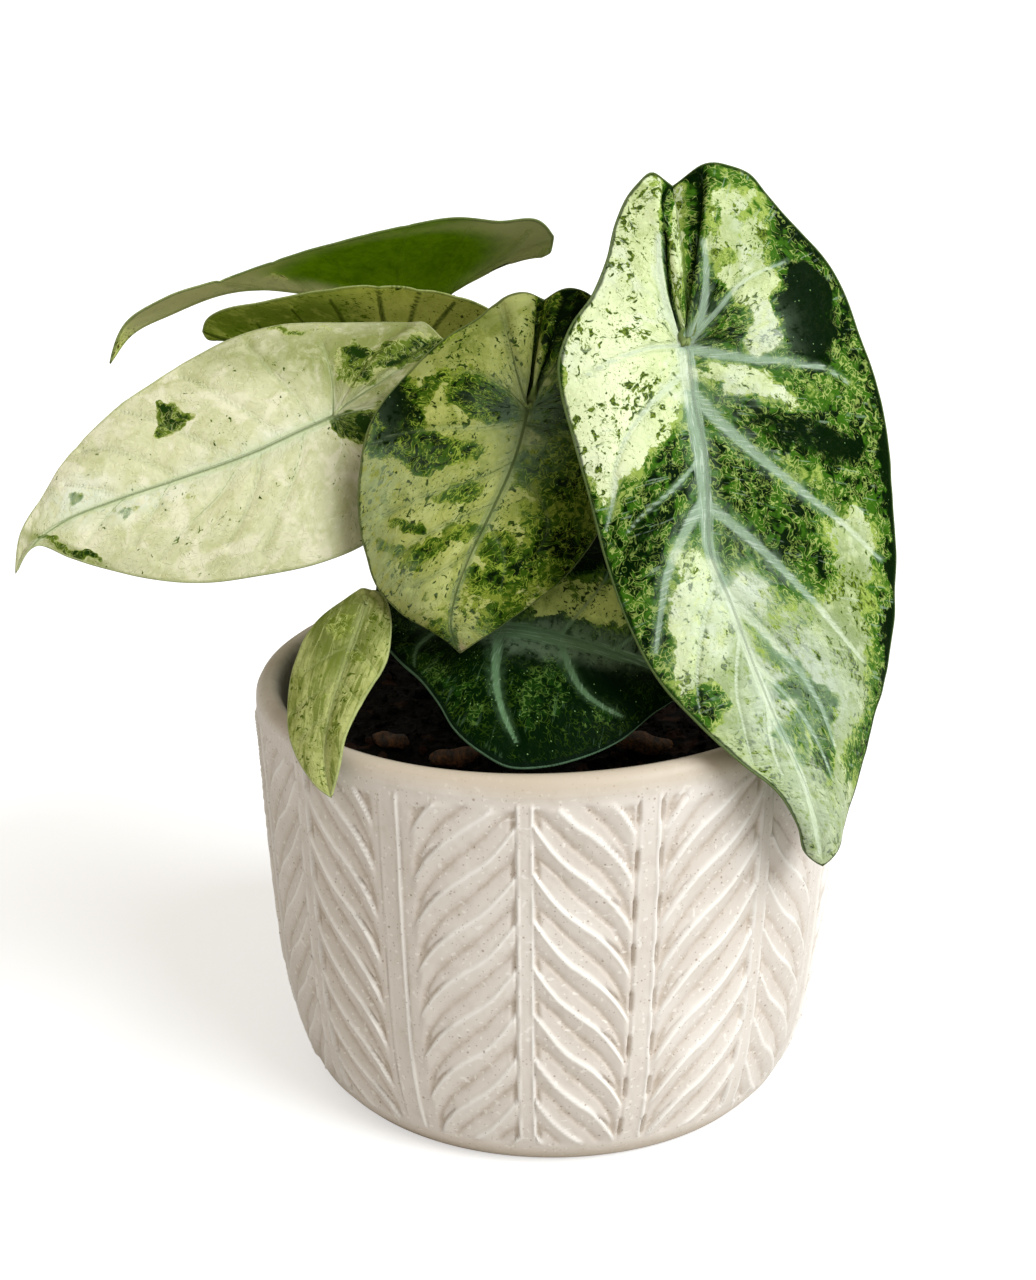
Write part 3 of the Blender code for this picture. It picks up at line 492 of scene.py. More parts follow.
# =====================================================================
# Blades
# =====================================================================
# Veins: (width at the start, width at the end, points) on the drawing sheet.
# Patches: (across, down, half width, half height, turn in degrees, strength);
# above zero is cream, below zero is deep green.
LOOK = {
 'leaf_large_right': dict(
  base=-1.0, speck=1.05,
  veins=[(9.0, 1.8, [(684,346),(692,405),(700,451),(705,507),(709,550),(729,602),(752,664),(775,720),(803,781),(815,830),(819,852)]),
         (6.5, 1.4, [(686,348),(735,357),(785,362),(822,368),(848,384)]),
         (7.8, 1.8, [(694,396),(735,436),(785,478),(840,522),(880,560)]),
         (6.8, 1.6, [(704,503),(760,548),(815,604),(862,662)]),
         (5.2, 1.8, [(726,598),(775,644),(814,694),(834,746)]),
         (3.0, 1.0, [(750,660),(790,700),(818,744),(832,780)]),
         (3.2, 1.3, [(684,346),(650,348),(610,362),(580,380)]),
         (4.0, 1.3, [(686,372),(650,405),(625,440),(613,478)]),
         (7.0, 2.4, [(704,500),(684,534),(668,572),(661,612),(656,652)]),
         (2.0, 0.8, [(716,575),(702,630),(697,680),(700,715)]),
         (2.0, 0.8, [(740,632),(736,690),(745,735),(752,762)]),
         (2.4, 1.2, [(768,700),(770,740),(782,775)]),
         (2.8, 1.0, [(697,462),(670,492),(646,512),(626,534)]),
         (3.4, 1.4, [(616,480),(612,505),(606,530)]),
         (6.0, 2.0, [(682,340),(668,312),(660,275),(658,235)]),
         (6.5, 2.4, [(688,342),(702,312),(706,280),(704,240)]),
         (4.0, 1.6, [(690,340),(716,312),(740,284),(786,262)])],
  folds=[(5.5, 2, [(667,184),(665,240),(670,290),(681,332)]), (8.5, 2.2, [(699,172),(697,230),(691,290),(686,336)])],
  patches=[(640,235,40,72,6,1.5),(618,325,58,90,0,1.5),(610,420,52,78,-12,1.5),(655,375,36,70,0,1.3),(678,255,5,90,0,0.8),
           (656,508,32,66,24,-0.75),(636,560,38,72,-12,-0.55),(650,622,22,56,-14,-0.25),(664,470,18,34,20,-0.4),(616,500,12,26,-10,0.9),
           (734,226,42,56,-14,1.32),(728,262,10,12,0,-0.4),(748,210,9,14,30,-0.35),(716,222,8,16,0,-0.3),(724,182,40,7,6,-0.7),(786,222,22,36,-34,-0.8),(752,292,36,26,10,1.75),(718,303,17,22,-30,-1.9),(716,340,26,9,8,-1.2),(768,334,20,24,10,2.2),
           (808,314,29,47,-16,-3.6),(824,250,12,44,-34,-1.3),(846,346,20,48,-22,0.85),(735,380,40,13,10,1.55),(775,402,32,12,16,1.65),(815,392,40,20,18,0.30),
           (782,412,20,10,0,0.6),(720,420,24,22,30,0.10),(800,432,62,24,22,-1.5),(850,445,24,52,0,-0.45),(742,500,44,46,24,-0.35),(790,545,52,40,24,-0.75),
           (800,474,40,16,30,0.75),(770,446,30,9,24,0.55),(843,536,30,26,-16,1.7),(846,600,26,60,4,1.25),(866,606,12,26,0,-1.0),(804,592,30,22,20,0.15),(720,548,18,26,0,0.25),
           (692,610,26,74,-4,1.5),(716,660,44,64,10,1.3),(750,590,26,26,30,1.3),(796,655,40,60,0,1.15),(706,704,20,20,10,-1.9),(702,668,10,9,0,-0.7),(752,742,44,50,30,1.6),(790,690,26,30,30,0.4),(806,732,16,44,-24,-0.40),(786,748,10,40,-24,-0.8),(742,606,14,9,20,-0.6),(770,650,26,10,35,-0.7),(796,676,22,9,40,-0.8),
           (856,650,20,80,8,0.85),(803,693,34,11,14,-0.9),(824,742,9,44,-8,-2.2),(798,742,8,34,-22,-0.5),(836,700,24,60,8,1.15),(806,742,30,40,30,-0.35),(806,694,30,12,10,-0.9),(812,806,40,74,0,1.9),
           (890,590,7,150,2,-2.6),(886,470,11,70,-4,-2.4),(864,360,10,50,-24,-1.4)],
  silver=[(748,588,28,30,30,1.0),(700,612,30,56,10,0.6),(790,660,44,36,40,0.6),(762,700,26,50,20,0.45),(786,740,34,50,20,0.45),(767,336,22,26,0,0.9),
          (812,820,30,50,0,0.6),(806,694,44,40,20,0.8),(740,395,30,10,10,0.7)],
  tones=[(706,704,26,24,0,-0.5),(780,655,54,66,20,-1.0),(800,740,48,66,10,-0.8),(815,830,34,50,0,-0.75),(735,720,40,50,40,-0.25),(846,600,30,80,0,-0.95),(742,240,46,60,-10,-0.55),(612,400,44,120,0,0.9),(768,335,24,28,0,0.5),(735,385,60,20,10,-0.35),(655,240,30,60,10,-0.18)]),
 'leaf_centre': dict(
  base=0.45, speck=0.45,
  veins=[(7.5, 2.4, [(527,411),(514,460),(493,508),(470,556),(455,597),(451,628),(459,650)]),
         (3.0, 1.2, [(524,420),(485,427),(440,429),(395,436),(372,446)]),
         (3.4, 1.4, [(512,462),(480,478),(435,492),(385,516)]),
         (3.0, 1.2, [(496,502),(460,518),(425,536),(392,560)]),
         (2.6, 1.1, [(470,552),(440,572),(412,588)]),
         (5.0, 2.0, [(526,425),(556,432),(590,440)]),
         (2.6, 1.2, [(510,475),(534,492),(548,520),(538,552)]),
         (2.4, 1.1, [(484,522),(504,556),(500,590)]),
         (3.0, 1.2, [(526,408),(500,385),(470,372),(452,376)]),
         (4.6, 1.6, [(527,405),(516,370),(508,335),(502,308)]),
         (4.0, 1.6, [(529,405),(545,380),(566,352),(590,330)])],
  folds=[(6.5, 2.4, [(566,292),(556,330),(544,370),(532,402)]), (4.5, 2, [(541,296),(537,335),(532,375),(528,402)])],
  patches=[(396,412,20,28,14,-3.0),(384,400,14,16,0,-1.6),(482,398,34,20,28,-2.2),(505,408,14,12,10,-1.4),(424,452,46,15,6,-2.2),(386,444,12,10,0,-1.0),
           (588,340,34,66,0,-3.2),(570,410,38,24,0,-2.6),(552,470,36,30,0,-1.35),(560,520,42,32,0,-0.9),(552,560,36,26,0,-1.3),(536,490,16,12,0,0.6),
           (514,550,18,20,0,0.5),(456,536,26,8,-18,-1.1),(414,527,16,6,5,-1.4),(498,548,18,16,0,-1.5),(430,390,16,8,-40,-1.2),(455,492,24,9,-20,-1.3),(420,560,20,9,-20,-1.2),(440,636,16,14,30,-0.9),(505,575,30,16,-20,-1.2),(474,572,9,8,0,-1.4),(390,550,12,8,0,-0.8),
           (480,598,30,22,0,-0.35),(505,612,34,12,-30,-0.9),(430,345,40,14,-30,-0.45),(440,604,22,18,40,-0.2),(388,500,14,10,0,-0.3)],
  silver=[(376,520,18,80,0,0.75),(527,420,34,46,10,0.9),(400,480,40,30,0,0.3),(470,640,30,20,0,0.4),(410,590,24,18,40,0.55)],
  tones=[(480,330,60,40,-10,-0.50),(440,350,50,22,-30,-0.55),(560,560,50,50,0,-0.40),(440,470,60,40,0,-0.35),(530,440,50,50,0,-0.35),(458,652,8,9,0,1.3)]),
 'leaf_left': dict(
  base=1.55, speck=-0.9,
  veins=[(6.5, 2.2, [(333,417),(306,429),(249,455),(172,482),(115,501),(62,523),(34,545),(20,566)]),
         (2.4, 1.1, [(316,424),(290,392),(262,362),(246,344)]),
         (2.4, 1.1, [(285,440),(245,412),(205,388),(180,378)]),
         (2.4, 1.1, [(235,460),(195,440),(150,420),(122,414)]),
         (2.2, 1.1, [(180,480),(145,462),(105,450),(82,452)]),
         (2.0, 1.0, [(125,499),(98,490),(66,486)]),
         (2.6, 1.1, [(304,432),(296,470),(280,510),(262,555)]),
         (2.4, 1.1, [(235,470),(218,496),(190,524),(160,560)]),
         (2.2, 1.1, [(262,450),(250,500),(228,545)]),
         (2.2, 1.0, [(170,483),(154,510),(134,545)]),
         (2.0, 1.0, [(122,500),(100,525),(86,545)]),
         (3.0, 1.4, [(333,416),(332,380),(322,345)]),
         (3.4, 1.4, [(334,414),(380,382),(425,352)]),
         (2.6, 1.2, [(335,416),(395,400),(440,380)])],
  patches=[(172,420,15,18,-20,-3.2),(162,433,10,6,20,-1.6),(215,436,32,9,30,-1.15),(296,392,16,14,0,-1.25),(352,372,20,22,-20,-1.9),(364,356,14,8,-10,-1.6),(408,348,32,15,-25,-1.45),
           (396,364,52,20,-22,-1.15),(360,352,20,8,-6,-1.3),(402,364,28,6,-14,-1.6),(426,346,16,8,-10,-1.2),(250,378,14,10,0,-1.3),(78,498,11,6,-10,-1.9),(126,509,19,7,-10,-1.5),(198,494,26,10,-16,-1.30),(140,548,8,9,0,-1.1),
           (194,520,13,5,-10,-1.2),(212,542,8,5,0,-1.1),(118,520,10,4,-12,-1.1),(354,430,22,15,4,-3.8),(384,408,30,8,-34,-1.9),(322,425,26,6,-20,-1.15),(310,334,50,6,2,-1.45),(270,334,30,5,4,-1.3),
           (140,392,24,3,-34,-1.3),(70,552,38,4.5,22,-3.8)],
  silver=[(78,500,30,16,-30,0.8),(130,505,36,12,-18,0.6),(246,455,80,12,-24,0.5)],
  tones=[(392,366,70,44,-20,-0.95),(436,404,26,60,0,-0.80),(280,356,110,30,2,-0.70),(395,520,50,60,30,-0.30),(240,450,120,60,-24,0.35),(215,436,60,16,28,-0.35),(70,552,40,6,22,-1.3),(24,556,16,26,30,-0.30)]),
 'leaf_low_centre': dict(
  base=-2.05, speck=0.5,
  veins=[(9, 4, [(488,627),(527,632),(562,640),(600,650),(650,664),(695,683)]),
         (6.0, 2.4, [(500,630),(496,660),(497,690),(505,718),(516,742)]),
         (5.0, 2.0, [(560,640),(568,664),(582,690),(602,706),(622,716)]),
         (3.4, 1.6, [(480,626),(452,626),(430,636),(417,650),(415,668)]),
         (2.6, 1.2, [(505,628),(520,600),(545,575),(560,555)]),
         (2.6, 1.2, [(560,636),(585,606),(605,580),(615,556)]),
         (2.6, 1.2, [(612,652),(640,630),(655,606)])],
  patches=[(578,596,52,26,6,2.1),(530,604,40,16,0,1.0),(600,630,60,12,14,1.25),(630,612,36,30,0,1.0),(572,560,60,26,0,0.3),(508,672,10,8,20,0.6),
           (545,690,24,40,20,0.9),(470,700,24,22,0,0.8),(530,745,40,12,0,-0.4),(405,640,34,44,0,0.55),(430,668,22,26,0,0.8),(600,680,30,16,10,-0.9),(450,640,30,20,0,-0.6),
           (600,715,20,12,0,0.7),(430,676,14,20,0,0.6),(560,735,20,10,0,0.6)],
  silver=[(560,640,100,14,10,0.95),(520,640,60,12,8,0.6),(590,655,60,12,14,0.25)],
  tones=[(400,640,30,50,0,-0.35),(640,700,40,30,0,-0.35)]),
 'leaf_small_left': dict(
  base=1.0, speck=0.2,
  veins=[(3.6, 1.6, [(366,604),(352,645),(340,680),(330,715),(325,745),(326,772),(331,794)]),
         (2, 1, [(352,645),(330,655),(306,672)]),(2, 1, [(352,645),(368,662),(378,676)]),
         (2, 1, [(341,680),(318,692),(296,712)]),(2, 1, [(341,680),(354,698),(360,704)]),
         (1.8, 1, [(330,715),(312,726),(298,744)])],
  patches=[(340,625,16,16,-30,-1.1),(353,655,10,10,0,-1.5),(365,618,20,18,0,-0.7),(318,690,8,24,16,-0.8),(332,730,7,18,0,-1.0),
           (300,690,7,20,0,-0.8),(345,690,8,10,0,-0.8)],
  silver=[],
  tones=[(348,628,30,28,-20,-1.5),(330,700,14,60,14,-0.45),(306,668,14,30,20,-0.3)]),
 # the two back blades show their undersides
 'leaf_top_back': dict(
  base=-1.05, speck=1.1, full_under=True, wave=0.15, relief=0.55, mottle=1.0,
  veins=[(3.4, 1.4, [(446,296),(405,299),(360,298),(314,293),(259,288),(222,293),(173,312),(131,334),(110,363)]),
         (2.4, 1.0, [(440,296),(478,276),(508,252),(530,230)]),
         (2.4, 1.0, [(446,297),(490,286),(525,268),(548,250)]),
         (2.2, 1.0, [(430,297),(440,272),(458,246),(470,226)]),
         (2.2, 1.0, [(400,298),(398,272),(402,246),(408,230)]),
         (2.0, 1.0, [(360,297),(345,274),(330,254)]),
         (2.0, 1.0, [(314,293),(296,278),(275,266)]),
         (2.0, 1.0, [(259,288),(240,285),(220,282)])],
  patches=[(300,286,60,6,6,1.5),(459,238,3,2,0,0.4),(196,296,60,16,-10,1.75),(140,328,36,12,-42,1.75),(116,352,12,20,20,1.5),(230,268,60,4,-14,-0.9)],
  silver=[],
  tones=[(532,240,40,30,0,0.75),(490,276,40,12,-24,0.60),(500,226,60,8,0,0.45),(300,286,56,6,6,0.8),(205,292,60,20,-8,0.95),(160,310,40,24,-20,0.95),(230,270,90,7,-12,0.6),(395,262,70,22,-4,-0.22),(112,352,14,30,0,-0.3),
         (380,236,90,5,-8,0.35)]),
 'leaf_second_back': dict(
  base=0.35, speck=0.0, full_under=True, wave=0.12, relief=0.55, mottle=0.8,
  veins=[(3.0, 1.4, [(466,352),(420,354),(360,352),(300,348),(250,344),(203,331)]),
         (3.8, 2.4, [(392,352),(384,322),(378,288)]),
         (3.6, 2.2, [(408,350),(410,322),(420,290)]),
         (3.6, 2.2, [(424,350),(431,332),(454,302)]),
         (3.0, 1.8, [(352,350),(345,324),(330,298)]),
         (2.2, 1.2, [(320,349),(308,328),(292,308)]),
         (2.0, 1.2, [(280,347),(266,332),(252,318)]),
         (2.2, 1.2, [(446,352),(462,340),(484,328)])],
  patches=[(357,322,3,2,0,-2.0)],
  silver=[],
  tones=[(270,326,90,34,0,-0.95),(215,328,40,26,0,-0.2),(330,318,30,30,0,-0.35),(440,320,50,30,0,0.25)]),
}
FINE = {'leaf_large_right': (60, 150, 56), 'leaf_centre': (60, 110, 50), 'leaf_left': (60, 120, 46),
        'leaf_top_back': (50, 130, 40), 'leaf_second_back': (40, 90, 32), 'leaf_low_centre': (50, 90, 44),
        'leaf_small_left': (24, 84, 26)}

def polyline_distance(pts, line, w0, w1):
    """Distance of points from a polyline over its tapering half width."""
    line = np.asarray(line, float)
    c, _ = smooth_curve(np.c_[line, np.zeros(len(line))], np.linspace(0, 1, 8 * len(line)))
    c = c[:, :2]
    wid = np.linspace(w0, w1, len(c))
    best = np.full(len(pts), 1e9)
    for k in range(len(c) - 1):
        a, b = c[k], c[k + 1]
        ab = b - a
        L2 = max(float(ab @ ab), 1e-9)
        t = np.clip(((pts - a) @ ab) / L2, 0, 1)
        d = np.linalg.norm(pts - (a + t[:, None] * ab), axis=1) / (wid[k] + (wid[k + 1] - wid[k]) * t)
        best = np.minimum(best, d)
    return best

def torn_sheet(pts):
    """The drawing sheet, with every patch edge torn and wandering."""
    u, v = pts[:, 0], pts[:, 1]
    du = 11.0 * fbm(u * 0.040, v * 0.040, 81, 3) + 4.5 * fbm(u * 0.17, v * 0.17, 83, 2)
    dv = 11.0 * fbm(u * 0.040 + 9.0, v * 0.040, 85, 3) + 4.5 * fbm(u * 0.17 + 5.0, v * 0.17, 87, 2)
    return np.stack([u + du, v + dv], -1)

def blob_sum(pts, blobs, power=2.6):
    f = np.zeros(len(pts))
    for u, v, ru, rv, turn, val in blobs:
        a = math.radians(turn)
        x, y = pts[:, 0] - u, pts[:, 1] - v
        p = (x * math.cos(a) + y * math.sin(a)) / ru
        q = (-x * math.sin(a) + y * math.cos(a)) / rv
        f += val * np.exp(-0.7 * np.minimum(p * p + q * q, 9) ** power)
    return f

def blade_index(n_fan, n_body, n_t):
    last = n_fan + n_body
    idx = np.zeros((2, last + 1, n_t + 1), np.int64)
    count = 2 + (n_body - 1) + n_t
    mid = 2 + np.arange(n_body - 1)
    seam = 2 + (n_body - 1) + np.arange(n_t)
    for k in range(2):
        block = count + np.arange((last - 1) * n_t).reshape(last - 1, n_t)
        count += block.size
        idx[k, 1:last, 1:] = block
        idx[k, :n_fan + 1, 0] = 0
        idx[k, n_fan + 1:last, 0] = mid
        idx[k, 0, 1:] = seam
        idx[k, last, :] = 1
    return idx, count

def build_blade(name):
    leaf, look = LEAVES[name], LOOK[name]
    n_fan, n_body, n_t = FINE[name]
    out, base, mall = leaf_grid(leaf, n_fan, n_body, n_t, fine=True)
    idx, count = blade_index(n_fan, n_body, n_t)
    last = n_fan + n_body
    P = np.zeros((count, 3))
    side = np.zeros(count)
    col = np.zeros(count)
    row = np.zeros(count)
    for k in range(2):
        f = idx[k].ravel()
        P[f] = out[k].reshape(-1, 3)
        side[f] = k
        col[f] = np.repeat(np.arange(last + 1) / last, n_t + 1)
        row[f] = np.tile(np.arange(n_t + 1) / n_t, last + 1)
    quads = []
    flip = leaf.get('face', 1) < 0
    for k in range(2):
        a = idx[k]
        q = np.stack([a[:-1, :-1], a[1:, :-1], a[1:, 1:], a[:-1, 1:]], -1).reshape(-1, 4)
        if (k == 1) != flip:
            q = q[:, ::-1]
        quads.append(q)
    quads = np.concatenate(quads)
    # corners that fall together make triangles
    same = np.zeros(len(quads), bool)
    tri = []
    for a, b in ((0, 1), (1, 2), (2, 3), (3, 0)):
        s = quads[:, a] == quads[:, b]
        t = quads[s & ~same]
        keep = [c for c in range(4) if c != b]
        tri.append(t[:, keep])
        same |= s
    tri = np.concatenate(tri)
    ok = (tri[:, 0] != tri[:, 1]) & (tri[:, 1] != tri[:, 2]) & (tri[:, 2] != tri[:, 0])
    tri = tri[ok]
    quads = quads[~same]
    tris = np.concatenate([quads[:, [0, 1, 2]], quads[:, [0, 2, 3]], tri])

    def normals(P):
        n = np.cross(P[tris[:, 1]] - P[tris[:, 0]], P[tris[:, 2]] - P[tris[:, 0]])
        vn = np.zeros_like(P)
        for c in range(3):
            for j in range(3):
                vn[:, j] += np.bincount(tris[:, c], n[:, j], minlength=count)
        return unit(vn)

    vn = normals(P)
    uv = to_sheet(P)
    # length scales of the blade in millimetres
    rib = np.zeros(count)
    for k in range(2):
        w = np.linalg.norm(np.diff(out[k], axis=1), axis=2).sum(1) * 1000
        rib[idx[k].ravel()] = np.repeat(w, n_t + 1)
    run = np.zeros(count)
    for k in range(2):
        e = out[k][:, -1] * 0.5 + out[k][:, n_t // 2] * 0.5
        d = np.concatenate([[0], np.cumsum(np.linalg.norm(np.diff(e, axis=0), axis=1))]) * 1000
        run[idx[k].ravel()] = np.repeat(d * (1 if k else -1), n_t + 1)
    rimd = (1 - row) * rib                       # from the margin, millimetres
    tip_fade = sstep(1.0, 0.965, col)
    # veins
    main = np.full(count, 1e9)
    cross = np.full(count, 1e9)
    if 'veins' in look:
        for n, (w0, w1, line) in enumerate(look['veins']):
            d = polyline_distance(uv, line, w0, w1)
            if n == 0:
                main = np.minimum(main, d)
            else:
                cross = np.minimum(cross, d)
        # fold creases at the notch: a dent in the mesh, and painted shade in the colour further down
        fold_dent_and_shade = np.zeros(count)
        for w0, w1, line in look.get('folds', []):
            fold_dent_and_shade = np.maximum(fold_dent_and_shade, np.exp(-np.minimum(polyline_distance(uv, line, w0, w1), 9) ** 3))
    else:
        main = row * rib / np.maximum(1.3 * (1 - col) + 0.35, 0.3)
        for n, c0 in enumerate(look['auto_veins']):
            for k in range(2):
                c_here = c0 + 0.10 * (row ** 1.3)
                d = np.abs(col - c_here) * 120 / np.maximum(0.55 * (1 - row) + 0.30, 0.3)
                d = np.where(side == k, d, 1e9)
                cross = np.minimum(cross, d)
    vein = np.exp(-np.minimum(main, 9) ** 2 * 0.9)
    vein2 = np.exp(-np.minimum(cross, 9) ** 2 * 0.9)
    soft = np.exp(-np.minimum(np.minimum(main, cross) * 0.28, 9) ** 2)
    # quilting between the veins, sunk veins, wavy margin
    fx, fy = run * 0.16, row * rib * 0.16
    pucker = fbm(fx + 11.3 * side, fy, 21, 2)
    dish = (1 - soft)
    h = 0.55 * dish - 0.35 * vein - 0.22 * vein2 + 0.22 * pucker * (1 - vein)
    wave = fbm(run * 0.075 + 5.1 * side, np.full(count, 0.3), 33, 2)
    h = h * sstep(0.0, 0.12, row + 0.04) + look.get('wave', 0.9) * wave * row ** 3 * tip_fade * sstep(0, 0.05, col)
    if 'folds' in look:
        h = h - 1.5 * fold_dent_and_shade * sstep(1.0, 0.9, row)
    h *= look.get('relief', 1.0) * np.clip(rib / 14.0, 0.25, 1.0)
    P = P + vn * (h * 0.001)[:, None]
    vn = normals(P)
    half = 0.00030 * (0.45 + 0.55 * sstep(0.0, 1.2, rimd)) + 0.00045 * vein * (1 - col)
    top = P + vn * 0.00022 * np.ones((count, 1))
    bot = P - vn * (half + 0.00008)[:, None]
    # rounded margin
    edges = np.concatenate([idx[0][:, -1], idx[1][::-1, -1][1:-1]])
    if flip:
        edges = edges[::-1]
    ring_n = len(edges)
    nxt = np.roll(P[edges], -1, 0) - np.roll(P[edges], 1, 0)
    outward = unit(np.cross(unit(nxt), vn[edges]))
    cen = P.mean(0)
    if np.mean(np.sum(outward * (P[edges] - cen), 1)) < 0:
        outward = -outward
    lipv = P[edges] + outward * 0.00022 - vn[edges] * 0.00006
    verts = np.concatenate([top, bot, lipv])
    L0 = 2 * count
    k = np.arange(ring_n)
    k2 = (k + 1) % ring_n
    e0, e1 = edges, edges[k2]
    # orientation of the margin strip follows the upper face's boundary
    tset = set(map(tuple, np.concatenate([tris[:, [0, 1]], tris[:, [1, 2]], tris[:, [2, 0]]]).tolist()))
    forward = sum((int(a), int(b)) in tset for a, b in zip(e0[:200], e1[:200])) > 100
    if forward:
        s1 = np.stack([e1, e0, L0 + k, L0 + k2], -1)
        s2 = np.stack([L0 + k2, L0 + k, e0 + count, e1 + count], -1)
    else:
        s1 = np.stack([e0, e1, L0 + k2, L0 + k], -1)
        s2 = np.stack([L0 + k, L0 + k2, e1 + count, e0 + count], -1)
    ob = mesh_object(name + '_blade', verts,
                     [quads, quads[:, ::-1] + count, s1, s2, tri, tri[:, ::-1] + count])

    def three(a, edge_value=None):
        return np.concatenate([a, a, a[edges] if edge_value is None else np.full(ring_n, edge_value)])
    if 'veins' in look:
        ragged = torn_sheet(uv)
        cream = look['base'] + blob_sum(ragged, look['patches'])
        silver = blob_sum(ragged, look['silver'], 1.2)
        broad = blob_sum(uv, look.get('tones', []), 1.0)
        if 'folds' in look:
            # the fold creases are painted deep green as painted shade, on top of their dent in the mesh
            cream = cream * (1 - fold_dent_and_shade) - 2.6 * fold_dent_and_shade
            silver = silver * (1 - fold_dent_and_shade)
    else:
        cream = look['base'] + 0.35 * fbm(run * 0.05, row * rib * 0.05, 51, 2)
        silver = np.zeros(count)
        broad = blob_sum(uv, look.get('tones', []), 1.0)
    attribute(ob, 'cream', three(cream))
    attribute(ob, 'silver', three(np.clip(silver, 0, 1)))
    attribute(ob, 'tone', three(broad))
    attribute(ob, 'vein', three(vein))
    attribute(ob, 'vein2', three(vein2))
    attribute(ob, 'near_vein', three(soft))
    attribute(ob, 'rim', three(rimd, 0.0))
    attribute(ob, 'under', np.concatenate([np.zeros(count), np.ones(count), np.full(ring_n, 0.3)]))
    flow = np.stack([run, row * rib, side * 40.0], -1)
    attribute3(ob, 'flow', np.concatenate([flow, flow, flow[edges]]))
    return ob

# =====================================================================
# Materials
# =====================================================================
def lin(r, g, b):
    def f(c):
        c = c / 255.0
        return c / 12.92 if c <= 0.04045 else ((c + 0.055) / 1.055) ** 2.4
    return (f(r), f(g), f(b), 1.0)

class Graph:
    """Shorthand for building a shader's nodes."""
    def __init__(self, name):
        self.mat = bpy.data.materials.new(name)
        self.mat.use_nodes = True
        self.t = self.mat.node_tree
        self.bsdf = next(n for n in self.t.nodes if n.type == 'BSDF_PRINCIPLED')

    def put(self, sock, val):
        if isinstance(val, bpy.types.NodeSocket):
            self.t.links.new(val, sock)
        elif val is not None:
            if hasattr(sock.default_value, '__len__') and not hasattr(val, '__len__'):
                val = [val] * len(sock.default_value)
            if hasattr(sock.default_value, '__len__') and len(sock.default_value) == 3 and len(val) == 4:
                val = val[:3]
            sock.default_value = val

    def math(self, op, a, b=None, c=None, clamp=False):
        n = self.t.nodes.new('ShaderNodeMath')
        n.operation = op
        n.use_clamp = clamp
        self.put(n.inputs[0], a)
        if b is not None:
            self.put(n.inputs[1], b)
        if c is not None:
            self.put(n.inputs[2], c)
        return n.outputs[0]

    def add(self, a, b): return self.math('ADD', a, b)
    def mul(self, a, b, clamp=False): return self.math('MULTIPLY', a, b, clamp=clamp)
    def sub(self, a, b): return self.math('SUBTRACT', a, b)

    def step(self, x, lo, hi, to0=0.0, to1=1.0):
        n = self.t.nodes.new('ShaderNodeMapRange')
        n.interpolation_type = 'SMOOTHSTEP'
        self.put(n.inputs[0], x)
        self.put(n.inputs[1], lo)
        self.put(n.inputs[2], hi)
        self.put(n.inputs[3], to0)
        self.put(n.inputs[4], to1)
        return n.outputs[0]

    def mix(self, fac, a, b, blend='MIX'):
        n = self.t.nodes.new('ShaderNodeMix')
        n.data_type = 'RGBA'
        n.blend_type = blend
        n.clamp_factor = True
        self.put(n.inputs[0], fac)
        self.put(n.inputs[6], a)
        self.put(n.inputs[7], b)
        return n.outputs[2]

    def attr(self, name, vector=False):
        n = self.t.nodes.new('ShaderNodeAttribute')
        n.attribute_name = name
        return n.outputs['Vector'] if vector else n.outputs['Fac']

    def coords(self):
        n = self.t.nodes.new('ShaderNodeTexCoord')
        return n.outputs['Object']

    def scaled(self, vec, scale, turn=0.0, shift=(0, 0, 0)):
        n = self.t.nodes.new('ShaderNodeMapping')
        self.put(n.inputs[0], vec)
        n.inputs['Scale'].default_value = scale
        n.inputs['Rotation'].default_value = (0, 0, turn)
        n.inputs['Location'].default_value = shift
        return n.outputs[0]

    def noise(self, vec, scale, detail=3.0, rough=0.55, distort=0.0, color=False):
        n = self.t.nodes.new('ShaderNodeTexNoise')
        n.noise_dimensions = '3D'
        self.put(n.inputs['Vector'], vec)
        n.inputs['Scale'].default_value = scale
        n.inputs['Detail'].default_value = detail
        n.inputs['Roughness'].default_value = rough
        n.inputs['Distortion'].default_value = distort
        return n.outputs[1] if color else n.outputs[0]

    def cells(self, vec, scale, out='Distance', feature='F1', rand=1.0):
        n = self.t.nodes.new('ShaderNodeTexVoronoi')
        n.feature = feature
        self.put(n.inputs['Vector'], vec)
        n.inputs['Scale'].default_value = scale
        n.inputs['Randomness'].default_value = rand
        return n.outputs[out]

    def channel(self, col, k=0):
        n = self.t.nodes.new('ShaderNodeSeparateColor')
        self.put(n.inputs[0], col)
        return n.outputs[k]

    def bump(self, height, strength, dist, normal=None):
        n = self.t.nodes.new('ShaderNodeBump')
        n.inputs['Strength'].default_value = strength
        n.inputs['Distance'].default_value = dist
        self.put(n.inputs['Height'], height)
        if normal is not None:
            self.put(n.inputs['Normal'], normal)
        return n.outputs[0]

    def set(self, name, val):
        self.put(self.bsdf.inputs[name], val)

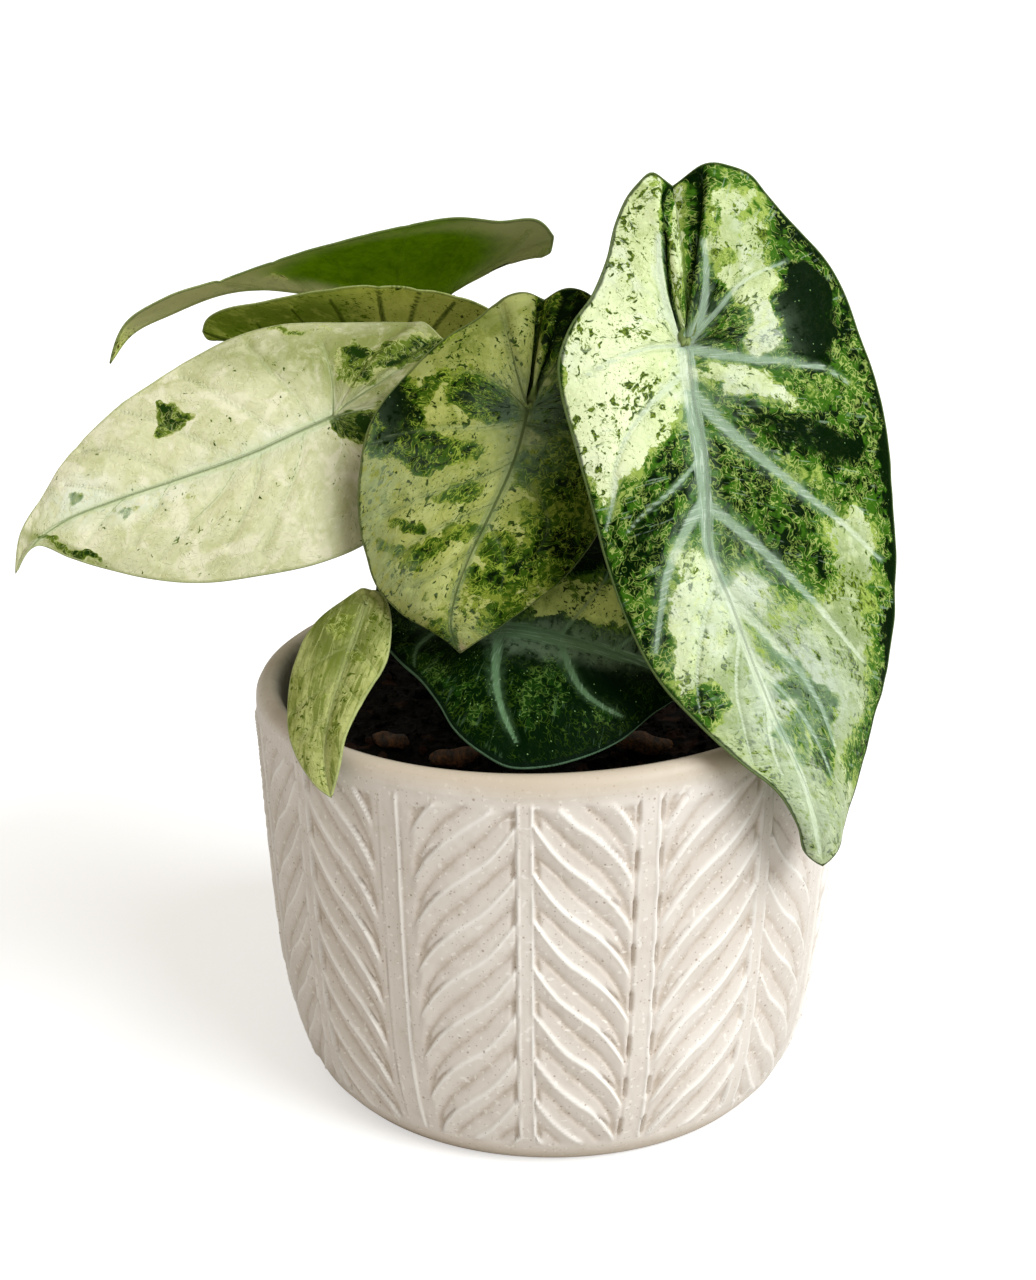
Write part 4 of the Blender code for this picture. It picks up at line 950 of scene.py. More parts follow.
def leaf_material(name, look, shift):
    g = Graph(name)
    C0, C1, C2, C3 = [lin(*c) for c in look['palette']]          # cream, pale green, mid green, deep green
    flow = g.scaled(g.attr('flow', vector=True), (1, 1, 1), shift=(shift * 13.7, shift * 5.3, shift))
    flow2 = g.scaled(flow, (1, 1, 1), 0.6, (31.0, 17.0, 5.0))
    cream, vein, vein2, tone = g.attr('cream'), g.attr('vein'), g.attr('vein2'), g.attr('tone')
    near, rim, under, silver = g.attr('near_vein'), g.attr('rim'), g.attr('under'), g.attr('silver')
    torn = g.sub(g.noise(flow, 0.55, 4.0, 0.68, 0.5), 0.5)
    mott = g.sub(g.noise(flow2, 0.17, 3.0, 0.6, 0.3), 0.5)
    fine = g.sub(g.noise(flow, 0.46, 2.0, 0.58, 0.9), 0.5)
    m = g.add(cream, g.mul(torn, 1.5))
    t = g.add(g.add(g.math('MAXIMUM', cream, look.get('floor', -1.15)), g.mul(mott, look.get('mottle', 2.3))), g.mul(fine, look.get('grain', 3.6)))
    deep = g.step(g.add(cream, g.mul(torn, 1.5)), -1.9, -2.6)
    # living tissue, deep to pale
    col = g.mix(g.step(t, -1.45, -0.70), C3, C2)
    col = g.mix(g.step(t, -0.52, 0.22), col, C1)
    # curled fibres: thin broken lines, pale in the deep green and deep in the pale green
    def lines(vec, scale, distort, wide):
        f = g.noise(vec, scale, 0.0, 0.5, distort)
        return g.step(g.math('ABSOLUTE', g.sub(g.mul(f, 2.0), 1.0)), wide, wide * 0.5)
    l1 = g.mul(lines(flow, 0.46, 1.6, 0.105), g.step(g.noise(flow2, 0.45, 1.0), 0.43, 0.50))
    l2 = g.mul(lines(flow2, 0.60, 1.6, 0.100), g.step(g.noise(flow, 0.40, 1.0), 0.46, 0.53))
    l3 = g.mul(lines(g.scaled(flow2, (1, 1, 1), 1.1, (7, 3, 0)), 0.50, 1.6, 0.10), g.step(g.noise(flow2, 0.5, 1.0), 0.44, 0.52))
    pale = g.math('MAXIMUM', l1, g.mul(l2, 0.9))
    fb = look.get('fibre', 0.62)
    linec = g.mix(g.step(t, -1.7, -0.6), g.mix(0.55, C2, C1), g.mix(0.62, C1, lin(*look.get('fibre_color', (196, 208, 124)))))
    col = g.mix(g.mul(pale, g.step(t, -2.2, -1.1, fb * 0.62, fb)), col, linec)
    col = g.mix(g.mul(deep, 0.985), col, C3)
    col = g.mix(g.mul(l3, g.step(t, -0.7, 0.0, 0.0, 0.62)), col, C2)
    # cream, clouded, with faint threads
    cn = g.noise(flow2, 0.22, 3.0, 0.62, 0.5)
    cf = g.noise(flow, 0.75, 2.0, 0.66, 0.8)
    light = lin(*[min(255, int(v * 1.05 + 8)) for v in look['palette'][0]])
    creamc = g.mix(g.step(cn, 0.42, 0.70, 0.0, look.get('cloud', 0.55)), C0, C1)
    creamc = g.mix(g.step(g.noise(flow, 0.16, 2.0, 0.6, 0.6), 0.52, 0.36, 0.0, 0.7), creamc, lin(*look.get('milk', [min(255, int(v * 1.06 + 4)) for v in look['palette'][0]])))
    creamc = g.mix(g.step(cf, 0.52, 0.76, 0.0, look.get('cloud', 0.55) * 0.55), creamc, C1)
    creamc = g.mix(g.step(cf, 0.44, 0.30, 0.0, 0.55), creamc, light)
    creamc = g.mix(g.mul(g.math('MAXIMUM', l1, l3), 0.13), creamc, light)
    def toned(c):
        if 'tone_up' in look:
            c = g.mix(g.step(tone, 0.05, 1.0, 0.0, 0.85), c, lin(*look['tone_up']))
        f = g.mul(g.step(tone, -0.05, -1.0, 0.0, 0.88), g.step(g.add(cn, g.mul(torn, 0.5)), 0.30, 0.52, 0.50, 1.0))
        return g.mix(f, c, lin(*look.get('tone_down', (20, 34, 6))))
    if not look.get('full_under'):
        creamc = toned(creamc)
    col = g.mix(g.step(m, 0.06, 0.20), col, creamc)
    if 'streaks' in look:
        sx, sy, amount = look['streaks']
        st = g.noise(g.scaled(flow, (sx, sy, 1.0)), 0.55, 3.0, 0.62, 0.6)
        col = g.mix(g.mul(g.step(st, 0.50, 0.62), amount), col, g.mix(0.75, C1, C2))
        col = g.mix(g.mul(g.step(st, 0.44, 0.34), amount * 0.6), col, light)
    # crisp olive specks, in clusters and thick along the edge of the green
    sp = g.noise(flow, look.get('speck_scale', 0.85), 1.0, 0.5, look.get('speck_twist', 0.7))
    cl = g.sub(g.noise(flow2, 0.13, 2.0, 0.55), 0.5)
    close = g.mul(g.step(m, 1.15, 0.25), 0.045)
    level = 0.728 - 0.055 * look['speck']
    lift = g.add(g.mul(cl, look.get('cluster', 0.55)), close)
    s1 = g.step(g.add(sp, lift), level, level + 0.012)
    sp2 = g.noise(flow2, 2.1, 1.0, 0.5, 0.5)
    s2 = g.step(g.add(sp2, g.mul(lift, 0.8)), level + 0.012, level + 0.030)
    pits = g.mul(g.step(g.cells(flow, 1.15, 'Distance'), 0.21, 0.15), g.step(g.add(g.channel(g.cells(flow, 1.15, 'Color'), 0), g.mul(lift, -1.3)), 0.13 * look['speck'] + 0.02, 0.13 * look['speck'] + 0.01))
    s2 = g.math('MAXIMUM', s2, pits)
    speck = g.mul(g.math('MAXIMUM', s1, g.mul(s2, 0.9)), g.step(m, -0.1, 0.12))
    halo = g.mul(g.step(g.add(sp, lift), level - 0.085, level), g.step(m, -0.1, 0.15))
    col = g.mix(g.mul(halo, 0.42), col, g.mix(0.5, C1, C2))
    speckc = g.mix(g.step(sp2, 0.44, 0.60), lin(*look.get('speck_color', (30, 50, 6))), lin(*look['speck_light']) if 'speck_light' in look else C2)
    col = g.mix(g.mul(speck, 0.96), col, speckc)
    # bright dots in the deep green
    dot = g.mul(g.step(g.cells(flow, 1.15, 'Distance'), 0.21, 0.14), g.step(g.channel(g.cells(flow, 1.15, 'Color'), 1), 0.14, 0.12))
    dot = g.mul(dot, g.step(t, -0.5, -1.0))
    col = g.mix(g.mul(dot, look.get('dots', 0.75)), col, lin(122, 156, 96))
    # lighter and darker regions
    if look.get('full_under'):
        T0, T1, T2, T3 = [lin(*c) for c in look['top']]
        tt = g.add(g.add(cream, g.mul(mott, 3.4)), g.mul(fine, 2.6))
        top = g.mix(g.step(tt, -1.5, -0.7), T3, T2)
        top = g.mix(g.step(tt, -0.4, 0.3), top, T1)
        top = g.mix(g.mul(pale, 0.30), top, T1)
        top = g.mix(g.step(m, 0.06, 0.20), top, T0)
        top = g.mix(g.mul(speck, 0.9), top, T3)
        col = g.mix(under, top, toned(col))
    # silvery film
    sn = g.noise(flow, 0.5, 3.0, 0.66)
    sil = g.mul(silver, g.step(sn, 0.34, 0.52))
    col = g.mix(g.mul(sil, 0.66), col, g.mix(g.step(m, -0.6, 0.4), lin(112, 134, 104), lin(*look.get('film', (204, 212, 196)))))
    # fine side threads between the veins
    thread = g.noise(g.scaled(flow, (1.0, 0.07, 1.0)), 1.25, 2.0, 0.6, 0.5)
    thr = g.mul(g.step(thread, 0.59, 0.64), g.math('MAXIMUM', g.step(g.noise(flow2, 0.28, 2.0), 0.46, 0.60), silver))
    veinc = g.mix(g.step(m, -0.4, 0.3), lin(*look.get('vein_green', (134, 158, 138))), lin(*look.get('vein_cream', (188, 202, 164))))
    col = g.mix(g.mul(g.mul(thr, g.sub(1.0, deep)), look.get('thread', 0.20)), col, veinc)
    # veins: soft haze, feathered body made of strands, fine core
    sv1 = g.noise(g.scaled(flow, (0.16, 2.0, 1.0)), 1.0, 2.0, 0.62)
    sv2 = g.noise(g.scaled(flow, (2.0, 0.16, 1.0)), 1.0, 2.0, 0.62)
    haze = g.mul(g.mul(g.step(near, 0.50, 0.97), g.sub(1.0, g.mul(deep, 0.6))), g.step(g.noise(flow2, 0.4, 3.0, 0.6), 0.30, 0.66))
    col = g.mix(g.mul(haze, look.get('haze', 0.30)), col, veinc)
    flank = g.mul(g.step(vein2, 0.02, 0.10), g.step(vein2, 0.36, 0.16))
    col = g.mix(g.mul(flank, look.get('flank', 0.15)), col, C2)
    b1 = g.step(g.add(vein, g.mul(g.sub(sv1, 0.5), 0.55)), 0.22, 0.66)
    b2 = g.step(g.add(g.mul(vein2, look.get('side', 0.95)), g.mul(g.sub(sv2, 0.5), 0.50)), 0.26, 0.74)
    vs = look.get('vein_strength', 0.86)
    col = g.mix(g.mul(b2, vs * look.get('side_strength', 0.9)), col, veinc)
    col = g.mix(g.mul(b1, vs), col, veinc)
    strand = g.math('MAXIMUM', g.mul(b1, g.step(sv1, 0.52, 0.64)), g.mul(b2, g.mul(g.step(sv2, 0.54, 0.66), 0.8)))
    col = g.mix(g.mul(strand, look.get('strand', 0.46)), col, lin(*look.get('strand_color', (214, 224, 206))))
    gap = g.math('MAXIMUM', g.mul(b1, g.step(sv1, 0.47, 0.36)), g.mul(b2, g.step(sv2, 0.47, 0.36)))
    col = g.mix(g.mul(gap, look.get('gap', 0.14)), col, g.mix(0.5, C1, C2))
    core = g.math('MAXIMUM', g.step(vein, 0.88, 0.98), g.step(vein2, 0.84, 0.97))
    col = g.mix(g.mul(core, look.get('core', 0.0)), col, lin(*look.get('core_color', (96, 108, 64))))
    # margin: dark band, then a fine pale edge
    rn = g.add(rim, g.mul(g.sub(g.noise(flow, 0.40, 2.0), 0.5), 1.1))
    width = look.get('band', 1.0)
    col = g.mix(g.mul(g.step(rn, width, width * 0.5), look.get('margin', 0.7)), col, lin(*look.get('margin_color', (18, 38, 8))))
    col = g.mix(g.mul(g.step(rim, 0.36, 0.16), look.get('edge_strength', 0.55)), col, lin(*look.get('edge', (120, 140, 84))))
    # underside
    if look.get('full_under'):
        ucol = col
    else:
        ua, ub = lin(*look['under'][0]), lin(*look['under'][1])
        ucol = g.mix(g.step(g.add(g.noise(flow, 0.16, 4.0, 0.62), g.mul(torn, 0.5)), 0.36, 0.64), ua, ub)
        ucol = g.mix(g.mul(g.step(cf, 0.50, 0.70), 0.30), ucol, lin(*look['under'][2]))
        ucol = g.mix(g.mul(g.math('MAXIMUM', b1, b2), 0.55), ucol, lin(*look['under'][2]))
        ucol = g.mix(g.mul(g.step(m, -0.2, -0.9), look.get('under_patch', 0.35)), ucol, C3)
        ucol = g.mix(g.mul(g.step(rim, 1.0, 0.5), 0.45), ucol, lin(*look['under'][3]))
        ucol = g.mix(under, col, ucol)
    g.set('Base Color', ucol)
    rough = g.add(look.get('rough', 0.36), g.mul(cf, 0.16))
    rough = g.add(rough, g.mul(under, 0.10))
    g.set('Roughness', rough)
    g.bsdf.inputs['Specular IOR Level'].default_value = look.get('gloss', 0.018)
    hb = g.add(g.mul(l1, 0.35), g.mul(g.noise(flow, 0.50, 2.0, 0.6), 1.0))
    hb = g.add(hb, g.mul(g.step(g.math('MAXIMUM', vein, vein2), 0.2, 0.7), 0.35))
    g.set('Normal', g.bump(hb, look.get('bump', 0.60), 0.0005))
    return g.mat

def pot_material():
    g = Graph('speckled_glaze')
    p = g.coords()
    groove, crest, inside = g.attr('groove'), g.attr('crest'), g.attr('inside')
    big = g.noise(p, 38.0, 3.0, 0.5)
    mid = g.noise(p, 260.0, 4.0, 0.65)
    base = g.mix(g.step(big, 0.32, 0.70), lin(225, 216, 205), lin(215, 205, 193))
    base = g.mix(g.mul(g.step(mid, 0.50, 0.72), 0.35), base, lin(196, 184, 168))
    # grooves painted darker and browner: partly glaze pooled in the hollows, partly painted shade
    groove_pooling_and_shade = g.mul(groove, g.step(mid, 0.22, 0.72, 0.45, 1.0))
    base = g.mix(g.mul(groove_pooling_and_shade, 0.72), base, lin(170, 149, 126))
    # crests and stem edges painted lighter: partly glaze running thin over them, partly painted highlight
    base = g.mix(g.mul(crest, 0.85), base, lin(248, 243, 235))
    def dots(scale, size, share):
        d = g.cells(p, scale, 'Distance')
        c = g.channel(g.cells(p, scale, 'Color'), 0)
        s2 = g.mul(g.channel(g.cells(p, scale, 'Color'), 1), 0.5)
        edge = g.add(size * 0.55, g.mul(s2, size))
        return g.mul(g.step(g.sub(d, edge), 0.05, -0.03), g.step(c, share, share - 0.02))
    sp = g.math('MAXIMUM', g.mul(dots(620.0, 0.17, 0.20), 0.85), g.mul(dots(1250.0, 0.24, 0.34), 0.60))
    base = g.mix(g.mul(sp, 0.66), base, lin(128, 98, 68))
    pale = g.mul(g.step(g.noise(p, 900.0, 0.0), 0.70, 0.76), 0.5)
    base = g.mix(pale, base, lin(244, 238, 228))
    fine = g.noise(p, 1500.0, 2.0, 0.6)
    # brown flecks thicker in the grooves: pooled glaze, and part of the painted groove shade
    base = g.mix(g.mul(g.mul(g.step(fine, 0.52, 0.72), groove), 0.40), base, lin(140, 114, 88))
    high = g.t.nodes.new('ShaderNodeSeparateXYZ')
    g.put(high.inputs[0], p)
    zz = g.add(high.outputs[2], g.mul(g.sub(big, 0.5), 0.004))
    rimtint = g.step(zz, 0.0885, 0.0935)
    base = g.mix(g.mul(rimtint, 0.80), base, lin(190, 174, 150))
    base = g.mix(g.mul(g.step(zz, 0.0075, 0.0015), 0.60), base, lin(190, 170, 142))
    # inside of the pot and inner side of the lip painted dark grey-green: painted shade over the same glaze as outside
    base = g.mix(g.mul(inside, 0.92), base, g.mix(g.step(mid, 0.35, 0.7), lin(122, 120, 100), lin(96, 96, 78)))
    g.set('Base Color', base)
    g.set('Roughness', g.add(0.42, g.mul(mid, 0.16)))
    g.bsdf.inputs['Specular IOR Level'].default_value = 0.30
    g.bsdf.inputs['Coat Weight'].default_value = 0.08
    g.bsdf.inputs['Coat Roughness'].default_value = 0.35
    h = g.mul(g.noise(p, 700.0, 2.0, 0.6), 0.6)
    g.set('Normal', g.bump(h, 0.25, 0.0003))
    return g.mat

def soil_material():
    g = Graph('potting_mix')
    p = g.coords()
    n = g.noise(p, 420.0, 5.0, 0.7)
    c = g.mix(g.step(n, 0.35, 0.72), lin(4, 3, 2), lin(17, 11, 7))
    pick = g.channel(g.cells(p, 330.0, 'Color'), 0)
    c = g.mix(g.mul(g.step(pick, 0.92, 0.95), 0.55), c, lin(64, 39, 24))
    g.bsdf.inputs['Specular IOR Level'].default_value = 0.12
    g.set('Base Color', c)
    g.set('Roughness', g.add(0.72, g.mul(n, 0.25)))
    g.set('Normal', g.bump(g.noise(p, 900.0, 4.0, 0.7), 0.9, 0.0012))
    return g.mat

def bark_material():
    g = Graph('bark')
    p = g.coords()
    grain = g.noise(g.scaled(p, (1.0, 0.25, 1.0), 0.5), 900.0, 4.0, 0.65, 0.5)
    c = g.mix(g.step(grain, 0.32, 0.68), lin(26, 15, 8), lin(118, 76, 40))
    c = g.mix(g.step(g.noise(p, 300.0, 2.0), 0.55, 0.75, 0.0, 0.6), c, lin(24, 14, 10))
    g.set('Base Color', c)
    g.set('Roughness', g.add(0.66, g.mul(grain, 0.25)))
    g.set('Normal', g.bump(grain, 0.9, 0.0010))
    return g.mat

def stalk_material(tint):
    g = Graph('stalk_' + tint)
    up = g.attr('along')
    rnd = g.attr('around')
    p = g.coords()
    streak = g.noise(g.scaled(p, (1.0, 1.0, 0.10)), 1400.0, 3.0, 0.6)
    blot = g.noise(p, 260.0, 4.0, 0.65, 0.6)
    base = g.mix(g.step(up, 0.0, 0.35), lin(150, 158, 104), lin(118, 140, 76))
    base = g.mix(g.step(up, 0.75, 1.0), base, lin(132, 156, 96))
    base = g.mix(g.mul(g.step(blot, 0.52, 0.66), 0.55), base, lin(96, 74, 44))
    base = g.mix(g.mul(g.step(streak, 0.5, 0.7), 0.35), base, lin(176, 186, 132))
    base = g.mix(g.step(up, 0.10, 0.0, 0.0, 0.8), base, lin(112, 84, 56))
    g.set('Base Color', base)
    g.set('Roughness', g.add(0.40, g.mul(blot, 0.18)))
    g.set('Normal', g.bump(streak, 0.4, 0.0004))
    return g.mat

def corm_material():
    g = Graph('corm_skin')
    p = g.coords()
    n = g.noise(g.scaled(p, (1, 1, 3.0)), 300.0, 5.0, 0.7, 0.6)
    c = g.mix(g.step(n, 0.34, 0.66), lin(58, 42, 28), lin(126, 104, 66))
    c = g.mix(g.step(g.noise(p, 90.0, 2.0), 0.5, 0.7, 0.0, 0.5), c, lin(104, 112, 60))
    g.set('Base Color', c)
    g.set('Roughness', 0.75)
    g.set('Normal', g.bump(n, 0.8, 0.0012))
    return g.mat

def give(ob, mat):
    ob.data.materials.clear()
    ob.data.materials.append(mat)

# =====================================================================
# Soil, corm, stalks, bark
# =====================================================================
SOIL_R = 0.0580

def soil_height(x, y):
    r = np.hypot(x, y)
    h = 0.0009 * fbm(x * 60, y * 60, 3, 2)
    h = h + 0.0013 * (1 - np.abs(fbm(x * 230 + 4, y * 230, 7, 3))) - 0.0011
    h = h + 0.0007 * (1 - np.abs(value_noise(x * 620, y * 620, 9))) ** 2
    h = h + 0.0011 * sstep(0.040, 0.058, r) - 0.0004
    return SOIL_TOP + h

def build_soil():
    nr, na = 92, 280
    r = np.linspace(0.0, 1.0, nr + 1)[1:] ** 0.75 * SOIL_R
    a = np.linspace(0, 2 * np.pi, na, endpoint=False)
    X, Y = r[:, None] * np.cos(a), r[:, None] * np.sin(a)
    Z = soil_height(X, Y)
    verts = np.stack([X, Y, Z], -1).reshape(-1, 3)
    i = np.arange(nr - 1)[:, None] * na
    k = np.arange(na)[None, :]
    k2 = (k + 1) % na
    quads = np.stack([i + k, i + na + k, i + na + k2, i + k2], -1).reshape(-1, 4)
    c = len(verts)
    verts = np.vstack([verts, [[0, 0, float(soil_height(np.zeros(1), np.zeros(1))[0])]]])
    kk = np.arange(na)
    tri = np.stack([kk, (kk + 1) % na, np.full(na, c)], -1)
    # side and underside
    n0 = len(verts)
    low = np.stack([0.0400 * np.cos(a), 0.0400 * np.sin(a), np.full(na, 0.0092)], -1)
    mid = np.stack([0.0560 * np.cos(a), 0.0560 * np.sin(a), np.full(na, 0.0600)], -1)
    mid2 = np.stack([0.0508 * np.cos(a), 0.0508 * np.sin(a), np.full(na, 0.0200)], -1)
    verts = np.vstack([verts, mid, mid2, low, [[0, 0, 0.0092]]])
    last = (nr - 1) * na
    q = []
    prev = last
    for off in (n0, n0 + na, n0 + 2 * na):
        q.append(np.stack([prev + kk, off + kk, off + (kk + 1) % na, prev + (kk + 1) % na], -1))
        prev = off
    tri2 = np.stack([prev + (kk + 1) % na, prev + kk, np.full(na, n0 + 3 * na)], -1)
    return mesh_object('potting_mix_bed', verts, [np.concatenate([quads] + q), np.concatenate([tri, tri2])])

ICO = None
def ico():
    global ICO
    if ICO is None:
        t = (1 + 5 ** 0.5) / 2
        v = np.array([(-1, t, 0), (1, t, 0), (-1, -t, 0), (1, -t, 0), (0, -1, t), (0, 1, t), (0, -1, -t), (0, 1, -t),
                      (t, 0, -1), (t, 0, 1), (-t, 0, -1), (-t, 0, 1)], float)
        v /= np.linalg.norm(v[0])
        f = np.array([(0, 11, 5), (0, 5, 1), (0, 1, 7), (0, 7, 10), (0, 10, 11), (1, 5, 9), (5, 11, 4), (11, 10, 2),
                      (10, 7, 6), (7, 1, 8), (3, 9, 4), (3, 4, 2), (3, 2, 6), (3, 6, 8), (3, 8, 9), (4, 9, 5),
                      (2, 4, 11), (6, 2, 10), (8, 6, 7), (9, 8, 1)])
        ICO = (v, f)
    return ICO

def rotation(ax, ay, az):
    ca, sa, cb, sb, cc, sc = math.cos(ax), math.sin(ax), math.cos(ay), math.sin(ay), math.cos(az), math.sin(az)
    rx = np.array([[1, 0, 0], [0, ca, -sa], [0, sa, ca]])
    ry = np.array([[cb, 0, sb], [0, 1, 0], [-sb, 0, cb]])
    rz = np.array([[cc, -sc, 0], [sc, cc, 0], [0, 0, 1]])
    return rz @ ry @ rx

def build_crumbs():
    v0, f0 = ico()
    rng = np.random.default_rng(11)
    verts, faces, tone = [], [], []
    n = 0
    for i in range(1150):
        r = SOIL_R * 0.965 * math.sqrt(rng.random())
        a = rng.random() * 2 * math.pi
        x, y = r * math.cos(a), r * math.sin(a)
        if math.hypot(x + 0.003, y - 0.011) < 0.0175:
            continue
        s = 0.00035 + 0.0011 * rng.random() ** 2.6
        sh = np.array([s * (1 + 1.2 * rng.random() ** 2), s, s * 0.7])
        wob = 1 + 0.28 * (rng.random(12)[:, None] - 0.5)
        M = rotation(rng.random() * 0.9, rng.random() * 0.9, rng.random() * 6.28)
        p = (v0 * wob * sh) @ M.T
        z = float(soil_height(np.array([x]), np.array([y]))[0]) + 0.35 * s
        verts.append(p + [x, y, z])
        faces.append(f0 + n)
        n += 12
    return mesh_object('potting_mix_crumbs', np.concatenate(verts), [np.concatenate(faces)], smooth=False)

CHIPS = [(-0.0205, -0.0285, 0.0110, 0.0062, 0.0030, 20), (-0.0345, -0.0190, 0.0085, 0.0055, 0.0026, -35),
         (0.0195, -0.0215, 0.0125, 0.0060, 0.0034, 160), (0.0495, 0.0080, 0.0130, 0.0066, 0.0032, 82),
         (0.0400, -0.0060, 0.0090, 0.0060, 0.0028, 110), (-0.0500, 0.0080, 0.0120, 0.0062, 0.0030, 95),
         (0.0120, 0.0430, 0.0130, 0.0066, 0.0032, 10), (-0.0180, 0.0440, 0.0100, 0.0060, 0.0026, -20)]

def build_chips():
    verts, faces = [], []
    n = 0
    for c, (cx, cy, ln, wd, th, turn) in enumerate(CHIPS):
        nu, nv = 20, 12
        U, V = np.meshgrid(np.linspace(0, 1, nu), np.linspace(0, 1, nv), indexing='ij')
        ang = 2 * np.pi * V
        prof = np.sin(np.pi * np.clip(U, 0.001, 0.999)) ** 0.35
        px = (U - 0.5) * ln * (1 + 0.05 * np.sin(3 * ang + c))
        sy, sz = np.cos(ang), np.sin(ang)
        sy = np.sign(sy) * np.abs(sy) ** 0.6
        sz = np.sign(sz) * np.abs(sz) ** 0.7
        rough = 1 + 0.16 * fbm(U * 7 + c * 3.1, V * 5, 61, 3)
        py = prof * sy * wd * 0.5 * rough
        pz = prof * sz * th * 0.5 * rough + 0.0003 * np.sin(U * 9 + c)
        ca, sa = math.cos(math.radians(turn)), math.sin(math.radians(turn))
        z0 = SOIL_TOP + 0.0003 + 0.5 * th
        P = np.stack([cx + px * ca - py * sa, cy + px * sa + py * ca, z0 + pz], -1).reshape(-1, 3)
        i = np.arange(nu - 1)[:, None] * nv
        k = np.arange(nv)[None, :]
        q = np.stack([i + k, i + (k + 1) % nv, i + nv + (k + 1) % nv, i + nv + k], -1).reshape(-1, 4)
        faces.append(q + n)
        verts.append(P)
        n += len(P)
    return mesh_object('bark_pieces', np.concatenate(verts), [np.concatenate(faces)], smooth=True)

def build_corm():
    nu, na = 40, 96
    a = np.linspace(0, 2 * np.pi, na, endpoint=False)
    t = np.linspace(0, 1, nu)
    prof, _ = smooth_curve(np.array([(0.0150, SOIL_TOP - 0.0006, 0), (0.0166, SOIL_TOP + 0.0018, 0), (0.0171, SOIL_TOP + 0.0036, 0),
                                     (0.0163, SOIL_TOP + 0.0054, 0), (0.0148, CORM_TOP - 0.0001, 0), (0.0080, CORM_TOP, 0), (0.0005, CORM_TOP, 0)]), t)
    R, Z = prof[:, 0][:, None], prof[:, 1][:, None]
    bump = 0.0006 * fbm(3 * np.cos(a)[None, :] + 3 * np.sin(a)[None, :] * 1.7 + t[:, None] * 4, t[:, None] * 14 + np.sin(a)[None, :], 71, 3)
    ring = 0.0003 * np.sin(t[:, None] * 60) * (t[:, None] < 0.7)
    R = np.maximum(R + (bump + ring) * (t[:, None] < 0.75), 0.0004)
    X, Y = -0.0030 + R * np.cos(a), 0.0110 + R * np.sin(a)
    P = np.stack([X, Y, Z + 0 * X], -1).reshape(-1, 3)
    i = np.arange(nu - 1)[:, None] * na
    k = np.arange(na)[None, :]
    q = np.stack([i + k, i + (k + 1) % na, i + na + (k + 1) % na, i + na + k], -1).reshape(-1, 4)
    c = len(P)
    P = np.vstack([P, [[-0.0030, 0.0110, CORM_TOP]]])
    kk = np.arange(na)
    tri = np.stack([(nu - 1) * na + kk, (nu - 1) * na + (kk + 1) % na, np.full(na, c)], -1)
    return mesh_object('corm_skin', P, [q, tri])

def build_stalk(name):
    stem = dict(STEMS[name])
    stem['stand'] = 0.0
    path, radius = stem_path(stem, 90)
    t = np.linspace(0, 1, 90)
    # sheathing foot and a slight swelling where it meets the blade
    radius = radius * (1 + 0.28 * np.exp(-(t / 0.07) ** 2)) * (1 + 0.22 * np.exp(-((1 - t) / 0.035) ** 2))
    tan = unit(np.gradient(path, axis=0))
    tan[0] = (0, 0, 1)
    na = 28
    verts = []
    u = None
    for i in range(len(path)):
        u = (np.array([1.0, 0, 0]) if u is None else u)
        u = u - tan[i] * np.dot(u, tan[i])
        u = u / np.linalg.norm(u)
        w = np.cross(tan[i], u)
        a = 2 * np.pi * np.arange(na) / na
        groove = 1 - 0.16 * np.exp(-((a - np.pi) / 0.55) ** 2) * math.exp(-((t[i] - 0.15) / 0.35) ** 2)
        ribs = 1 + 0.018 * np.sin(9 * a + 2 * t[i])
        rr = radius[i] * groove * ribs
        verts.append(path[i] + rr[:, None] * (np.cos(a)[:, None] * u + np.sin(a)[:, None] * w))
    P = np.concatenate(verts)
    n = len(path)
    i = np.arange(n - 1)[:, None] * na
    k = np.arange(na)[None, :]
    q = np.stack([i + k, i + (k + 1) % na, i + na + (k + 1) % na, i + na + k], -1).reshape(-1, 4)
    c = len(P)
    P = np.vstack([P, [path[0], path[-1]]])
    kk = np.arange(na)
    t0 = np.stack([(kk + 1) % na, kk, np.full(na, c)], -1)
    t1 = np.stack([(n - 1) * na + kk, (n - 1) * na + (kk + 1) % na, np.full(na, c + 1)], -1)
    ob = mesh_object(name.replace('stem_', 'stalk_'), P, [q, t0, t1])
    attribute(ob, 'along', np.concatenate([np.repeat(t, na), [0, 1]]))
    attribute(ob, 'around', np.concatenate([np.tile(np.arange(na) / na, n), [0, 0]]))
    return ob

# =====================================================================
# Put the pieces on the frame
# =====================================================================
def place(ob, slot, *nodes):
    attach(ob, "root")
    if nodes:
        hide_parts(*nodes)
    return ob

glaze = pot_material()
front = build_pot_part('pot_front', range(-2, 6))
back = build_pot_part('pot_back', range(6, 14))
for ob in (front, back):
    give(ob, glaze)
place(front, 'ceramic', 'pot')
place(back, 'ceramic')

soil = build_soil()
sm = soil_material()
give(soil, sm)
place(soil, 'soil', 'potting_soil')
crumbs = build_crumbs()
give(crumbs, sm)
place(crumbs, 'soil')
chips = build_chips()
give(chips, bark_material())
place(chips, 'bark', *['bark_chip_%d' % i for i in range(1, 9)])
corm = build_corm()
give(corm, corm_material())
place(corm, 'corm', 'corm')

